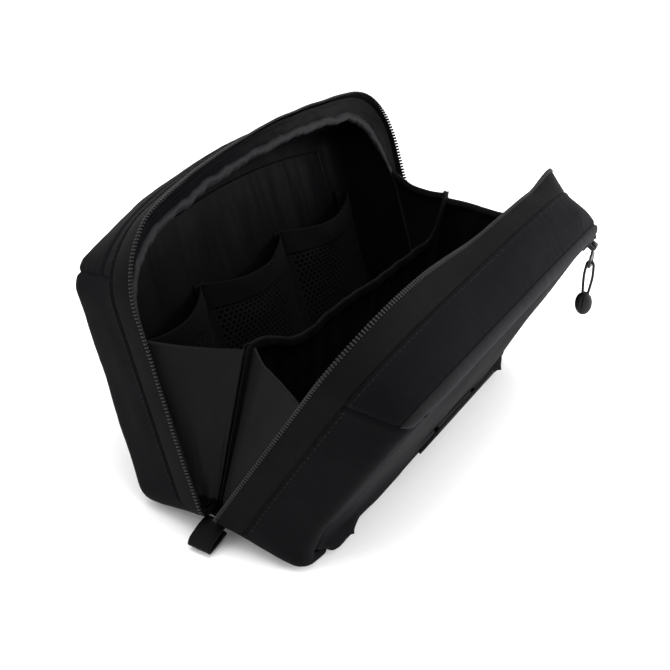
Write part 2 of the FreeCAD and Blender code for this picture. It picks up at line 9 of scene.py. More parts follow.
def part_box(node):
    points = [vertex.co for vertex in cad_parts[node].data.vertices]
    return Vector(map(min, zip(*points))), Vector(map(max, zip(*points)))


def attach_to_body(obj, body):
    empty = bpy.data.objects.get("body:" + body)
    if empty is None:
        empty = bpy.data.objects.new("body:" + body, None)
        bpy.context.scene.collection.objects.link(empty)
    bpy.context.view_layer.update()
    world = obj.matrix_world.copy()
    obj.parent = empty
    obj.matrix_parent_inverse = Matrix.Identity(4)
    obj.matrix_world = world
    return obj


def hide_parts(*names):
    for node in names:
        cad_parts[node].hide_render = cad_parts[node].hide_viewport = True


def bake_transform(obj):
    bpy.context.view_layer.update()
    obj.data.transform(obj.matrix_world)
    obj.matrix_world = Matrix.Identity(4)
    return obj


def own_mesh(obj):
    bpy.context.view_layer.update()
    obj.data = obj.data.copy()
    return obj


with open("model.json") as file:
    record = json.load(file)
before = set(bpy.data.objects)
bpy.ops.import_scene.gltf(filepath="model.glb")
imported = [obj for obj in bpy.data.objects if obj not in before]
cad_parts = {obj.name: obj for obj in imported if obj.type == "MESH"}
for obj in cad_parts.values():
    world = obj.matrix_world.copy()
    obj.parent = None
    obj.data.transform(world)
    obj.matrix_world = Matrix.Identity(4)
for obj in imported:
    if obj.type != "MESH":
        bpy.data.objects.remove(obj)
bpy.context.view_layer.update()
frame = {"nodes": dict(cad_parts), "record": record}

mm = 0.001
joints = {joint["name"]: joint for joint in frame["record"]["behaviour"]["joints"]}
fold = Vector(joints["front_opening"]["pos_m"])  # the line where the two halves join
print("frame loaded")


# camera

cameraSetup = {
    "fromFold": (-460.5 * mm, -250.0 * mm, 363.4 * mm),
    "yaw": 61.01,  # degrees clockwise from +Y
    "pitch": -31.59,
    "roll": 3.2,
    "lens": 63.34,
    "sensor": 36.0,
}


def addCamera(setup):
    yaw, pitch, roll = (radians(setup[key]) for key in ("yaw", "pitch", "roll"))
    ahead = Vector((sin(yaw) * cos(pitch), cos(yaw) * cos(pitch), sin(pitch)))
    right = Vector((cos(yaw), -sin(yaw), 0))
    up = right.cross(ahead)
    across = right * cos(roll) + up * sin(roll)
    upright = up * cos(roll) - right * sin(roll)
    data = bpy.data.cameras.new("camera")
    data.lens = setup["lens"]
    data.sensor_width = setup["sensor"]
    data.clip_start = 0.01
    camera = bpy.data.objects.new("camera", data)
    turn = Matrix((across, upright, -ahead)).transposed().to_4x4()
    camera.matrix_world = Matrix.Translation(fold + Vector(setup["fromFold"])) @ turn
    bpy.context.collection.objects.link(camera)
    bpy.context.scene.camera = camera


addCamera(cameraSetup)
print("camera placed")


# shader maths: a wrapped socket that adds Math nodes as it is calculated with

class Wire:
    def __init__(self, paint, socket):
        self.paint = paint
        self.socket = socket

    def maths(self, operation, *values):
        return self.paint.node("ShaderNodeMath", {"operation": operation}, dict(enumerate(values)))

    def __add__(self, other):
        return self.maths("ADD", self, other)

    def __sub__(self, other):
        return self.maths("SUBTRACT", self, other)

    def __rsub__(self, other):
        return self.maths("SUBTRACT", other, self)

    def __mul__(self, other):
        return self.maths("MULTIPLY", self, other)

    def __truediv__(self, other):
        return self.maths("DIVIDE", self, other)

    def __pow__(self, other):
        return self.maths("POWER", self, other)

    __radd__ = __add__
    __rmul__ = __mul__

    def sine(self):
        return self.maths("SINE", self)

    def size(self):
        return self.maths("ABSOLUTE", self)

    def fraction(self):
        return self.maths("FRACT", self)

    def floor(self):
        return self.maths("FLOOR", self)

    def above(self, other):
        return self.maths("GREATER_THAN", self, other)

    def least(self, other):
        return self.maths("MINIMUM", self, other)

    def most(self, other):
        return self.maths("MAXIMUM", self, other)


class Paint:
    def __init__(self, name):
        self.material = bpy.data.materials.new(name)
        self.material.use_nodes = True
        self.tree = self.material.node_tree
        self.tree.nodes.clear()

    def node(self, kind, settings=None, values=None, output=0):
        made = self.tree.nodes.new(kind)
        for key, value in (settings or {}).items():
            if key == "stops":
                self.setStops(made.color_ramp, value)
            else:
                setattr(made, key, value)
        for key, value in (values or {}).items():
            if isinstance(value, Wire):
                self.tree.links.new(value.socket, made.inputs[key])
            else:
                made.inputs[key].default_value = value
        return Wire(self, made.outputs[output])

    def setStops(self, ramp, stops):
        for place, tone in stops[1:-1]:
            ramp.elements.new(place).color = (*tone, 1)
        for element, (place, tone) in ((ramp.elements[0], stops[0]), (ramp.elements[-1], stops[-1])):
            element.position = place
            element.color = (*tone, 1)

    def place(self):
        return self.node("ShaderNodeTexCoord", output="Object")

    def cloth(self):
        return self.node("ShaderNodeUVMap", {"uv_map": "cloth"})

    def parts(self, vector):
        split = self.node("ShaderNodeSeparateXYZ", None, {0: vector}).socket.node
        return [Wire(self, socket) for socket in split.outputs]

    def stretched(self, vector, scale):
        return self.node("ShaderNodeMapping", None, {"Vector": vector, "Scale": scale})

    def cloud(self, vector, scale, detail=3.0, roughness=0.55):
        return self.node("ShaderNodeTexNoise", None,
                         {"Vector": vector, "Scale": scale, "Detail": detail, "Roughness": roughness})

    def blend(self, factor, low, high):
        return self.node("ShaderNodeMix", {"data_type": "RGBA"}, {0: factor, 6: low, 7: high}, 2)

    def bump(self, height, strength, distance):
        return self.node("ShaderNodeBump", None,
                         {"Height": height, "Strength": strength, "Distance": distance})

    def finish(self, values):
        shader = self.node("ShaderNodeBsdfPrincipled", None, values)
        output = self.tree.nodes.new("ShaderNodeOutputMaterial")
        self.tree.links.new(shader.socket, output.inputs[0])
        return self.material


def rgba(tone):
    return (*tone, 1.0)


plainCloth = {"rough": 0.6, "sheenTone": (1, 1, 1), "onCloth": True}

clothLooks = {
    "shell_fabric": {
        **plainCloth, "tone": (0.0009, 0.0009, 0.0011), "lift": (0.0025, 0.0024, 0.0031),
        "thread": 0.62 * mm, "weave": 0.16 * mm, "rough": 0.82, "gloss": 0.042, "sheen": 0.0066,
        "sheenTone": (0.86, 0.85, 1.0)
    },
    "zip_tape": {
        **plainCloth, "tone": (0.0011, 0.0011, 0.0011), "lift": (0.0030, 0.0030, 0.0030),
        "thread": 0.8 * mm, "weave": 0.2 * mm, "rough": 0.76, "gloss": 0.037, "sheen": 0.0063
    },
    "lining_cloth": {
        **plainCloth, "tone": (0.0007, 0.0007, 0.0010), "lift": (0.0020, 0.0020, 0.0026),
        "thread": 0.4 * mm, "weave": 0.06 * mm, "rough": 0.55, "gloss": 0.047, "sheen": 0.0059,
        "sheenTone": (0.86, 0.86, 1)
    },
    # a lighter copy of the lining cloth for the rolled hem: painted highlight along the roll
    "facing_cloth": {
        **plainCloth, "tone": (0.0033, 0.0033, 0.0039), "lift": (0.0103, 0.0103, 0.0115),
        "thread": 0.5 * mm, "weave": 0.08 * mm, "gloss": 0.109, "sheen": 0.0239,
        "sheenTone": (0.93, 0.93, 1)
    },
    "gusset_cloth": {
        **plainCloth, "tone": (0.0019, 0.0019, 0.0020), "lift": (0.0042, 0.0043, 0.0044),
        "thread": 0.5 * mm, "weave": 0.09 * mm, "gloss": 0.065, "sheen": 0.0089
    },
    "binding_tape": {
        **plainCloth, "tone": (0.0011, 0.0011, 0.0012), "lift": (0.0032, 0.0032, 0.0034),
        "thread": 0.7 * mm, "weave": 0.14 * mm, "rough": 0.76, "gloss": 0.050, "sheen": 0.0066
    },
    "sewing_thread": {
        **plainCloth, "tone": (0.0020, 0.0020, 0.0022), "lift": (0.0054, 0.0054, 0.0056),
        "thread": 0.5 * mm, "weave": 0.08 * mm, "gloss": 0.072, "sheen": 0.0099, "onCloth": False
    },
}


def wovenCloth(name, look):
    paint = Paint(name)
    place = paint.place()
    turned = paint.node("ShaderNodeMapping", None, {"Vector": place, "Rotation": (0.6, 0.3, 0.2)})
    source = paint.cloth() if look["onCloth"] else turned
    along, across, spare = paint.parts(source)
    if not look["onCloth"]:
        across = across + spare
    step = pi / look["thread"]
    wobble = (paint.cloud(place, 260.0, 2.0) - 0.5) * 0.9
    warp = (along * step + wobble).sine()
    weft = (across * step + wobble).sine()
    warpThread = warp.size() ** 0.6
    weftThread = weft.size() ** 0.6
    over = (warp * weft).above(0.0)
    yarn = over * warpThread + (1 - over) * weftThread
    mottle = paint.cloud(place, 42.0, 4.0, 0.6)
    fuzz = paint.cloud(place, 900.0, 2.0, 0.7)
    patch = paint.cloud(place, 11.0, 2.0)
    tint = (0.36 * yarn + 0.42 * mottle + 0.30 * fuzz + 0.25 * patch - 0.18).most(0.0).least(1.0)
    height = yarn * 0.55 + fuzz * 0.3 + mottle * 0.5
    return paint.finish({
        "Base Color": paint.blend(tint, rgba(look["tone"]), rgba(look["lift"])),
        "Roughness": look["rough"] - 0.12 * mottle + 0.06 * fuzz,
        "Specular IOR Level": look["gloss"],
        "Sheen Weight": look["sheen"],
        "Sheen Roughness": 0.45,
        "Sheen Tint": rgba(look["sheenTone"]),
        "Normal": paint.bump(height, 0.55, look["weave"]),
    })


def ribbedWebbing(name, tone, lift, rib, weave):
    paint = Paint(name)
    place = paint.place()
    along, across, _ = paint.parts(paint.cloth())
    fuzz = paint.cloud(place, 800.0, 2.0, 0.7)
    mottle = paint.cloud(place, 60.0, 3.0)
    ribs = ((across * (pi / rib)).sine().size()) ** 0.7
    picks = (along * (pi / weave) + (across * (pi / rib)).sine() * 1.2).sine().size()
    tint = (0.5 * ribs + 0.3 * picks + 0.35 * mottle + 0.2 * fuzz - 0.3).most(0.0).least(1.0)
    return paint.finish({
        "Base Color": paint.blend(tint, rgba(tone), rgba(lift)),
        "Roughness": 0.72 - 0.15 * mottle,
        "Specular IOR Level": 0.07,
        "Sheen Weight": 0.01,
        "Sheen Roughness": 0.4,
        "Normal": paint.bump(ribs * 0.7 + picks * 0.35 + fuzz * 0.15, 0.7, 0.3 * mm),
    })


def mouldedPlastic(name, tone, lift, rough, grain, bite):
    paint = Paint(name)
    place = paint.place()
    fine = paint.cloud(place, grain, 3.0, 0.6)
    wide = paint.cloud(place, 90.0, 2.0)
    tint = (0.6 * fine + 0.6 * wide - 0.1).most(0.0).least(1.0)
    return paint.finish({
        "Base Color": paint.blend(tint, rgba(tone), rgba(lift)),
        "Roughness": rough + 0.14 * fine - 0.1 * wide,
        "Specular IOR Level": 0.2,
        "Normal": paint.bump(fine, 0.4, bite),
    })


def platedMetal(name, tone, lift, rough, brushed, bite):
    paint = Paint(name)
    place = paint.place()
    strokes = paint.cloud(paint.stretched(place, brushed), 1.0, 3.0, 0.6)
    wear = paint.cloud(place, 420.0, 4.0, 0.65)
    worn = ((wear - 0.56) * 7.0).most(0.0).least(1.0)
    tint = (0.75 * strokes + 0.6 * worn - 0.15).most(0.0).least(1.0)
    return paint.finish({
        "Base Color": paint.blend(tint, rgba(tone), rgba(lift)),
        "Metallic": 0.85 - 0.25 * worn,
        "Roughness": rough + 0.2 * strokes + 0.1 * worn,
        "Normal": paint.bump(strokes + 0.4 * wear, 0.35, bite),
    })


def knittedMesh(name, tone, lift, pitch, hole):
    paint = Paint(name)
    place = paint.place()
    along, across, _ = paint.parts(paint.cloth())
    row = (across / pitch).floor()
    shift = (row * 0.5).fraction()
    x = ((along / (pitch * 1.25) + shift).fraction() - 0.5).size() * 1.25
    y = ((across / pitch).fraction() - 0.5).size()
    roundness = (x * x + y * y) ** 0.5
    diamond = x * 0.85 + y
    opening = 0.5 * roundness + 0.38 * diamond
    inBand = along.above(4 * mm) * (pocketCloth["meshRun"] - along).above(4 * mm)
    inMesh = inBand * across.above(1.5 * mm)
    solid = 1 - inMesh * (hole - opening).above(0.0)
    fuzz = paint.cloud(place, 1500.0, 2.0, 0.7)
    mottle = paint.cloud(place, 80.0, 3.0)
    tint = (0.5 * mottle + 0.5 * fuzz - 0.1 + 0.5 * opening).most(0.0).least(1.0)
    return paint.finish({
        "Base Color": paint.blend(tint, rgba(tone), rgba(lift)),
        "Roughness": 0.7 - 0.15 * mottle,
        "Specular IOR Level": 0.06,
        "Sheen Weight": 0.006,
        "Alpha": solid,
        "Normal": paint.bump(opening + fuzz * 0.2, 0.5, 0.25 * mm),
    })


def braidedCord(name, tone, lift):
    paint = Paint(name)
    place = paint.place()
    x, y, z = paint.parts(place)
    braid = ((z * 3600 + x * 2600).sine() * (z * 3600 - x * 2600 + y * 1900).sine()) * 0.5 + 0.5
    fuzz = paint.cloud(place, 1800.0, 2.0)
    tint = (0.6 * braid + 0.4 * fuzz - 0.1).most(0.0).least(1.0)
    return paint.finish({
        "Base Color": paint.blend(tint, rgba(tone), rgba(lift)),
        "Roughness": 0.75 - 0.15 * braid,
        "Specular IOR Level": 0.2,
        "Sheen Weight": 0.04,
        "Normal": paint.bump(braid + 0.3 * fuzz, 0.6, 0.15 * mm),
    })


pocketCloth = {"meshRun": 78.5 * mm, "pitch": 2.6 * mm, "hole": 0.30}

paints = {slot: wovenCloth(slot, look) for slot, look in clothLooks.items()}
paints["webbing"] = ribbedWebbing("webbing", (0.0005, 0.0005, 0.0005), (0.0020, 0.0021, 0.0020),
                                  1.1 * mm, 0.8 * mm)
paints["zip_coil"] = mouldedPlastic("zip_coil", (0.0013, 0.0013, 0.0015), (0.0045, 0.0045, 0.0048),
                                    0.36, 900.0, 0.05 * mm)
paints["pull_rubber"] = mouldedPlastic("pull_rubber", (0.0035, 0.0035, 0.0038), (0.010, 0.010, 0.0104), 0.5,
                                       700.0, 0.12 * mm)
paints["badge_metal"] = platedMetal("badge_metal", (0.0045, 0.0045, 0.0050), (0.020, 0.020, 0.0215), 0.42,
                                    (30, 900, 900), 0.05 * mm)
paints["slider_metal"] = platedMetal("slider_metal", (0.022, 0.0225, 0.024), (0.11, 0.11, 0.118), 0.28,
                                     (500, 500, 120), 0.04 * mm)
paints["pocket_mesh"] = knittedMesh("pocket_mesh", (0.0012, 0.0012, 0.0014), (0.0042, 0.0042, 0.0046),
                                    pocketCloth["pitch"], pocketCloth["hole"])
paints["pull_cord"] = braidedCord("pull_cord", (0.0030, 0.0030, 0.0030), (0.010, 0.010, 0.010))
print("materials made:", len(paints))


# tray coordinates: x along the pouch from its middle, depth outwards from the zip, rise up from the fold

class Tray:
    def __init__(self, name, side, lean):
        self.name = name
        self.side = side  # +1 leans back, -1 leans to the front
        self.lean = lean
        self.cosine = cos(lean)
        self.sine = sin(lean)

    def slump(self, x, depth, rise):
        # how the soft tray has settled: the rear rim stands up, the front's far corner sinks,
        # its heel spreads and its zip tape droops in the middle
        if self.side > 0:
            near = 1 - smooth(x, -112 * mm, -20 * mm)
            far = smooth(x, 80 * mm, 118 * mm)
            upright = smooth(rise, 106 * mm, 150 * mm)
            return x + 2.2 * mm * far * upright, depth, rise + 2.8 * mm * upright * (1 - near)
        far = smooth(x, 45 * mm, 118 * mm) * smooth(rise, 98 * mm, 150 * mm)
        far *= 1 - smooth(depth, 18 * mm, 34 * mm)
        heel = (1 - smooth(rise, -10 * mm, 42 * mm)) * smooth(depth, 10 * mm, 40 * mm)
        droop = radians(38) * smooth(x, -88 * mm, 0.0) * (1 - smooth(x, 58 * mm, 112 * mm))
        droop *= smooth(rise, 92 * mm, 122 * mm)
        free = max(pouch["tapeEdge"] - depth, 0.0)
        return (x - 1.0 * mm * far, depth + 9.5 * mm * heel + free * (1 - cos(droop)),
                rise - 5.5 * mm * far - free * sin(droop))

    def point(self, x, depth, rise):
        x, depth, rise = self.slump(x, depth, rise)
        y = depth * self.cosine + rise * self.sine
        z = fold.z + rise * self.cosine - depth * self.sine
        rest = self.pressed(z)
        y += (rest - z) * 0.85
        return Vector((fold.x + x, fold.y + self.side * y, rest))

    def pressed(self, z):
        # cloth on the floor spreads outwards; the front's heel is squashed a little at a time
        if self.side > 0 or z > fold.z:
            return max(z, floorGap)
        top, sink = fold.z - floorGap, 9.5 * mm
        share = max((z - floorGap + sink) / (top + sink), 0.0)
        return floorGap + (top - sink) * share + sink * share * share

    def box(self, node):
        low, high = Vector((9, 9, 9)), Vector((-9, -9, -9))
        for vertex in frame["nodes"][node].data.vertices:
            local = vertex.co - fold
            depth = self.side * local.y * self.cosine - local.z * self.sine
            rise = self.side * local.y * self.sine + local.z * self.cosine
            for axis, value in enumerate((local.x, depth, rise)):
                low[axis] = min(low[axis], value)
                high[axis] = max(high[axis], value)
        return low, high


def leanOf(jointName):
    axis = joints[jointName]["axis"]
    return atan2(abs(axis[1]), abs(axis[2]))


floorGap = 0.25 * mm
rear = Tray("rear", 1, leanOf("gusset_rear_left_fold"))
front = Tray("front", -1, leanOf("gusset_front_left_fold"))

tapeLow, tapeHigh = rear.box("rear_zip_tape")
pocketZipLow, pocketZipHigh = front.box("pocket_zip_tapes")
pouch = {
    "half": tapeHigh.x,
    "height": tapeHigh.z,
    "rim": tapeLow.y,
    "tapeEdge": tapeHigh.y,
}
rear.depth = rear.box("rear_panel")[1].y
front.depth = pocketZipHigh.y + 1.4 * mm
rear.room = rear.box("rear_lining")[1].y
front.room = front.box("front_lining")[1].y

rimShape = {"half": pouch["half"], "footHalf": pouch["half"], "corner": 42 * mm, "crown": 620 * mm,
            "top": pouch["height"], "foot": 7 * mm, "under": 108 * mm}
outerShape = {"half": pouch["half"] - 12 * mm, "footHalf": pouch["half"] - 8 * mm, "corner": 13 * mm,
              "crown": 470 * mm, "top": pouch["height"] - 14.5 * mm, "under": 95 * mm}
seamAngles = {"rear": (radians(23.5), radians(48)), "front": (radians(3), radians(14))}
outerFoot = {"rear": 12.5 * mm, "front": 18 * mm}


def arcOf(centre, radius, start, end, count=14):
    steps = [start + (end - start) * k / count for k in range(count + 1)]
    return [Vector((centre[0] + radius * cos(a), centre[1] + radius * sin(a))) for a in steps]


class Track:
    def __init__(self, points):
        self.points = points
        self.sums = [0.0]
        for a, b in zip(points, points[1:]):
            self.sums.append(self.sums[-1] + (b - a).length)
        self.length = self.sums[-1]

    def at(self, share):
        want = min(max(share, 0.0), 1.0) * self.length
        k = min(bisect_right(self.sums, want), len(self.points) - 1)
        span = self.sums[k] - self.sums[k - 1]
        part = (want - self.sums[k - 1]) / span if span > 1e-12 else 0.0
        return self.points[k - 1].lerp(self.points[k], part)


def outlineTracks(shape, inset, lift):
    half, footHalf = shape["half"] - inset, shape["footHalf"] - inset
    corner, crown = shape["corner"] - inset, shape["crown"] - inset
    foot = max(shape["foot"] - inset, 2 * mm)
    top = shape["top"] - inset
    centre = top - crown
    spread = half - corner
    rise = centre + sqrt((crown - corner) ** 2 - spread ** 2)
    tilt = asin(spread / (crown - corner))
    seam, quarter, flat = shape["seam"], pi / 2, pi
    low = [Vector((-shape["under"], lift))]
    low += arcOf((-(footHalf - foot), foot + lift), foot, -quarter, -flat)
    low += arcOf((-spread, rise), corner, flat, flat - seam)
    high = arcOf((-spread, rise), corner, flat - seam, quarter + tilt)
    high += arcOf((0, centre), crown, quarter + tilt, quarter - tilt, 40)
    high += arcOf((spread, rise), corner, quarter - tilt, seam)
    base = [Vector((shape["under"], lift)), Vector((-shape["under"], lift))]
    return {"end": Track(low), "top": Track(high), "base": Track(base)}


def smooth(value, low=0.0, high=1.0):
    share = min(max((value - low) / (high - low), 0.0), 1.0)
    return share * share * (3 - 2 * share)


def mix(a, b, share):
    return a + (b - a) * share


def ripple(x, y, z):
    return noise.noise(Vector((x, y, z)))


class Shell:
    # the tray's surface: a place along one part of its outline, and a distance from the rim outwards,
    # round the edge and onto the panel
    def __init__(self, tray, inset, lift, depth, edge, heel, face):
        self.tray = tray
        self.depth = depth
        rimSeam, outerSeam = seamAngles[tray.name]
        self.rim = outlineTracks({**rimShape, "seam": rimSeam}, inset, lift)
        outer = {**outerShape, "seam": outerSeam, "foot": outerFoot[tray.name]}
        self.outer = outlineTracks(outer, inset, lift)
        self.edge = edge
        self.heel = heel
        self.face = face

    def radius(self, part, u):
        if part == "base":
            return self.heel
        if part == "end":
            return mix(self.heel, self.edge, smooth(u, 0.06, 0.24))
        return self.edge

    def outlineAt(self, part, u, share):
        return self.rim[part].at(u).lerp(self.outer[part].at(u), share)

    def inward(self, part, u, share):
        step = 0.012
        way = self.outlineAt(part, min(u + step, 1), share) - self.outlineAt(part, max(u - step, 0), share)
        way.normalize()
        return Vector((way.y, -way.x))

    def straight(self, part, u, start):
        return self.depth - self.radius(part, u) - start

    def total(self, part, u, start):
        radius = self.radius(part, u)
        return self.straight(part, u, start) + radius * pi / 2 + self.face

    def sample(self, part, u, run, start):
        radius = self.radius(part, u)
        straight = self.straight(part, u, start)
        turn = radius * pi / 2
        if run <= straight:
            depth, inset, tilt = start + run, 0.0, 0.0
        elif run <= straight + turn:
            tilt = (run - straight) / radius
            depth, inset = self.depth - radius * (1 - sin(tilt)), radius * (1 - cos(tilt))
        else:
            tilt = pi / 2
            depth, inset = self.depth, radius + run - straight - turn
        share = depth / self.depth
        inward = self.inward(part, u, share)
        flat = self.outlineAt(part, u, share) + inward * inset
        outward = -inward * cos(tilt)
        return Vector((flat.x, depth, flat.y)), Vector((outward.x, sin(tilt), outward.y))


def shellPlace(shell, part, mirrored, lift, startAt, endAt):
    # a function of (u, v) that gives a point of the pouch; lift moves it along the surface's normal
    def place(u, v):
        start = startAt(u)
        run = mix(0.0, endAt(u, start), v)
        spot, normal = shell.sample(part, u, run, start)
        spot = spot + normal * lift(u, v, spot)
        x = -spot.x if mirrored else spot.x
        return shell.tray.point(x, spot.y, spot.z)
    return place


def crowd(share, amount):
    # more rows near both ends
    return share - amount * sin(2 * pi * share) / (2 * pi)


def joinCollection(obj):
    bpy.context.collection.objects.link(obj)
    return obj


def meshOf(name, bm):
    mesh = bpy.data.meshes.new(name)
    bm.to_mesh(mesh)
    bm.free()
    return mesh


def makeObject(name, bm, slot):
    mesh = meshOf(name, bm)
    mesh.materials.append(paints[slot])
    for polygon in mesh.polygons:
        polygon.use_smooth = True
    return joinCollection(bpy.data.objects.new(name, mesh))


def gridSheet(name, counts, place, slot, inside, cut=(0.1, 0.1), dense=(0.0, 0.0)):
    # a grid moved to its shape; cut is its size as cloth, kept as a UV map in metres
    bm = bmesh.new()
    bmesh.ops.create_grid(bm, x_segments=counts[0], y_segments=counts[1], size=0.5)
    layer = bm.loops.layers.uv.new("cloth")
    for face in bm.faces:
        for loop in face.loops:
            u, v = loop.vert.co.x + 0.5, loop.vert.co.y + 0.5
            loop[layer].uv = (crowd(u, dense[0]) * cut[0], crowd(v, dense[1]) * cut[1])
    for vertex in bm.verts:
        u, v = crowd(vertex.co.x + 0.5, dense[0]), crowd(vertex.co.y + 0.5, dense[1])
        vertex.co = place(u, v)
    bm.normal_update()
    facing = sum((face.calc_center_median() - inside).dot(face.normal) * face.calc_area()
                 for face in bm.faces)
    if facing < 0:
        bmesh.ops.reverse_faces(bm, faces=bm.faces[:])
    return makeObject(name, bm, slot)


def thicken(obj, thickness, offset=-1.0):
    solid = obj.modifiers.new("thickness", "SOLIDIFY")
    solid.thickness = thickness
    solid.offset = offset
    solid.use_even_offset = False


def applyAll(obj):
    bpy.context.view_layer.update()
    graph = bpy.context.evaluated_depsgraph_get()
    made = bpy.data.meshes.new_from_object(obj.evaluated_get(graph))
    obj.modifiers.clear()
    old = obj.data
    obj.data = made
    bpy.data.meshes.remove(old)


def settle(obj):
    # keep the thickened cloth above the floor
    if obj.modifiers:
        applyAll(obj)
    for vertex in obj.data.vertices:
        vertex.co.z = max(vertex.co.z, floorGap)


def attach(obj, body, slot, *nodes):
    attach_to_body(obj, body)
    if nodes:
        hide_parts(*nodes)


def rumple(spot, scale, depth, seed=0.0):
    return depth * ripple(spot.x / scale + seed, spot.y / scale, spot.z / scale - seed)


def seamDip(distance, depth, width):
    return -depth * exp(-(distance / width) ** 2)


def pucker(distance, along, size, reach, pitch, seed=0.0):
    wander = ripple(along / (pitch * 2.2) + seed, seed, 3.1)
    strength = 0.35 + 1.5 * abs(ripple(along / (pitch * 3.5) + seed, 7.7, seed))
    return size * strength * exp(-distance / reach) * sin(2 * pi * along / pitch + 5 * wander)


# outer shells

shellLook = {
    "edge": 5.0 * mm,
    "rearHeel": 7 * mm,
    "frontHeel": 12.5 * mm,
    "face": 3.0 * mm,
    "seamDepth": 1.1 * mm,
    "seamWidth": 1.5 * mm,
    "crown": 0.9 * mm,
    "puckerSize": 0.13 * mm,
    "puckerReach": 6 * mm,
    "puckerPitch": 8 * mm,
    "rumple": 1.3 * mm,
    "thickness": 2.6 * mm,
    "tapeLap": 0.7 * mm,
    "bandStart": 0.25,  # share of the front's rounded top edge that the top wall covers
    "endSeeds": (5.2, 1.7),  # left and right
    "topSeed": 8.4,
    "topSeam": 23 * mm,
    "calm": 14 * mm,
}

rearShell = Shell(rear, 0.0, 0.0, rear.depth, shellLook["edge"], shellLook["rearHeel"], shellLook["face"])
frontShell = Shell(front, 0.0, 0.0, front.depth, shellLook["edge"], shellLook["frontHeel"],
                   shellLook["face"])
shells = (rearShell, frontShell)
for tray in (rear, front):
    tray.inside = tray.point(0, tray.depth * 0.35, 60 * mm)


def paddedLift(lengthU, lengthV, seed, panelSeam=None):
    look = shellLook

    def lift(u, v, spot):
        fromU = min(u, 1 - u) * lengthU
        fromV = min(v, 1 - v) * lengthV
        near = min(fromU, fromV)
        rise = look["crown"] * smooth(near, 0, look["calm"])
        rise += seamDip(fromU, look["seamDepth"], look["seamWidth"])
        rise += seamDip(fromV, look["seamDepth"], look["seamWidth"])
        size, reach, pitch = look["puckerSize"], look["puckerReach"], look["puckerPitch"]
        rise += pucker(fromV, u * lengthU, size, reach, pitch, seed)
        rise += pucker(fromU, v * lengthV, size, reach, pitch * 0.8, seed + 4)
        if panelSeam:
            rise += seamDip(spot.y - panelSeam, 0.8 * mm, 1.0 * mm) * smooth(near, 0, 2 * mm)
        rise += smooth(near, 0, 10 * mm) * (rumple(spot, 34 * mm, look["rumple"], seed)
                                            + rumple(spot, 12 * mm, look["rumple"] * 0.22, seed + 9))
        return rise
    return lift


def endStart(u):
    # the wall starts at the closing plane below the zip and at the tape's outer edge above it
    lap = pouch["tapeEdge"] - shellLook["tapeLap"]
    return mix(pouch["rim"], lap, smooth(u, 0.10, 0.17))


def tapeStart(_):
    return pouch["tapeEdge"] - shellLook["tapeLap"]


def rimStart(_):
    return pouch["rim"] * 0.4


def buildShell(shell):
    look = shellLook
    tray = shell.tray
    label, inside = tray.name, tray.inside
    longEnd = shell.rim["end"].length
    longTop = shell.rim["top"].length
    wide = shell.depth - pouch["tapeEdge"] + shellLook["edge"]
    body = label + "_half"

    def fullRun(part):
        return lambda u, start: shell.total(part, u, start)

    def shortRun(u, start):  # the front's top wall stops where the zip band begins
        return shell.straight("top", u, start) + shellLook["bandStart"] * shell.edge

    made = []
    for mirrored, end in ((False, "left"), (True, "right")):
        place = shellPlace(shell, "end", mirrored, paddedLift(longEnd, wide, look["endSeeds"][mirrored]),
                           endStart, fullRun("end"))
        wall = gridSheet(label + "EndWall" + end.capitalize(), (120, 44), place, "shell_fabric", inside,
                         (longEnd, wide), (0.55, 0.65))
        thicken(wall, shellLook["thickness"])
        attach(wall, body, "shell_fabric", f"{label}_{end}_wall")
        made.append(wall)
    topRun = shortRun if label == "front" else fullRun("top")
    seamAt = look["topSeam"] if label == "rear" else None
    lift = paddedLift(longTop, wide, look["topSeed"], seamAt)
    place = shellPlace(shell, "top", False, lift, tapeStart, topRun)
    top = gridSheet(label + "TopWall", (220, 44), place, "shell_fabric", inside, (longTop, wide),
                    (0.4, 0.65))
    thicken(top, shellLook["thickness"])
    attach(top, body, "shell_fabric", f"{label}_top_wall")
    place = shellPlace(shell, "base", False, paddedLift(shell.rim["base"].length, wide, 2.9), rimStart,
                       fullRun("base"))
    base = gridSheet(label + "Base", (120, 36), place, "shell_fabric", inside,
                     (shell.rim["base"].length, wide + 12 * mm), (0.4, 0.5))
    thicken(base, shellLook["thickness"])
    attach(base, body, "shell_fabric", f"{label}_base")
    made += [top, base]
    for piece in made:
        settle(piece)
    print(label, "shell made")


for shell in shells:
    buildShell(shell)


# outer panels: a patch between four edges, swollen and simulated as padded cloth

panelLook = {
    "rearThick": 5.0 * mm,
    "frontThick": 6.0 * mm,
    "rearSwell": 2.0 * mm,
    "frontSwell": 4.2 * mm,
    "voxel": 3.6 * mm,
    "pressure": 4.0,
    "cap": {"rear": 3.0 * mm, "front": 1.6 * mm},
    "calm": 26 * mm,
    "frames": 20,
    "tuck": 2.2 * mm,
    "reach": 2.6 * mm,  # how far its edges go under the walls
    "hidden": 12 * mm,
    "tall": 118 * mm,
    "rumple": 1.4 * mm,
}


def edgePoint(shell, part, u, startAt, mirrored=False):
    start = startAt(u)
    spot, _ = shell.sample(part, u, shell.total(part, u, start), start)
    return Vector((-spot.x if mirrored else spot.x, spot.y, spot.z))


def coons(bottom, top, left, right, u, v):
    corners = (bottom(0) * ((1 - u) * (1 - v)) + bottom(1) * (u * (1 - v))
               + top(0) * ((1 - u) * v) + top(1) * (u * v))
    return bottom(u) * (1 - v) + top(u) * v + left(v) * (1 - u) + right(v) * u - corners


def zipGap(u):
    return pocketZip["gap"] * (max(4 * u * (1 - u), 0.0) ** 0.16)


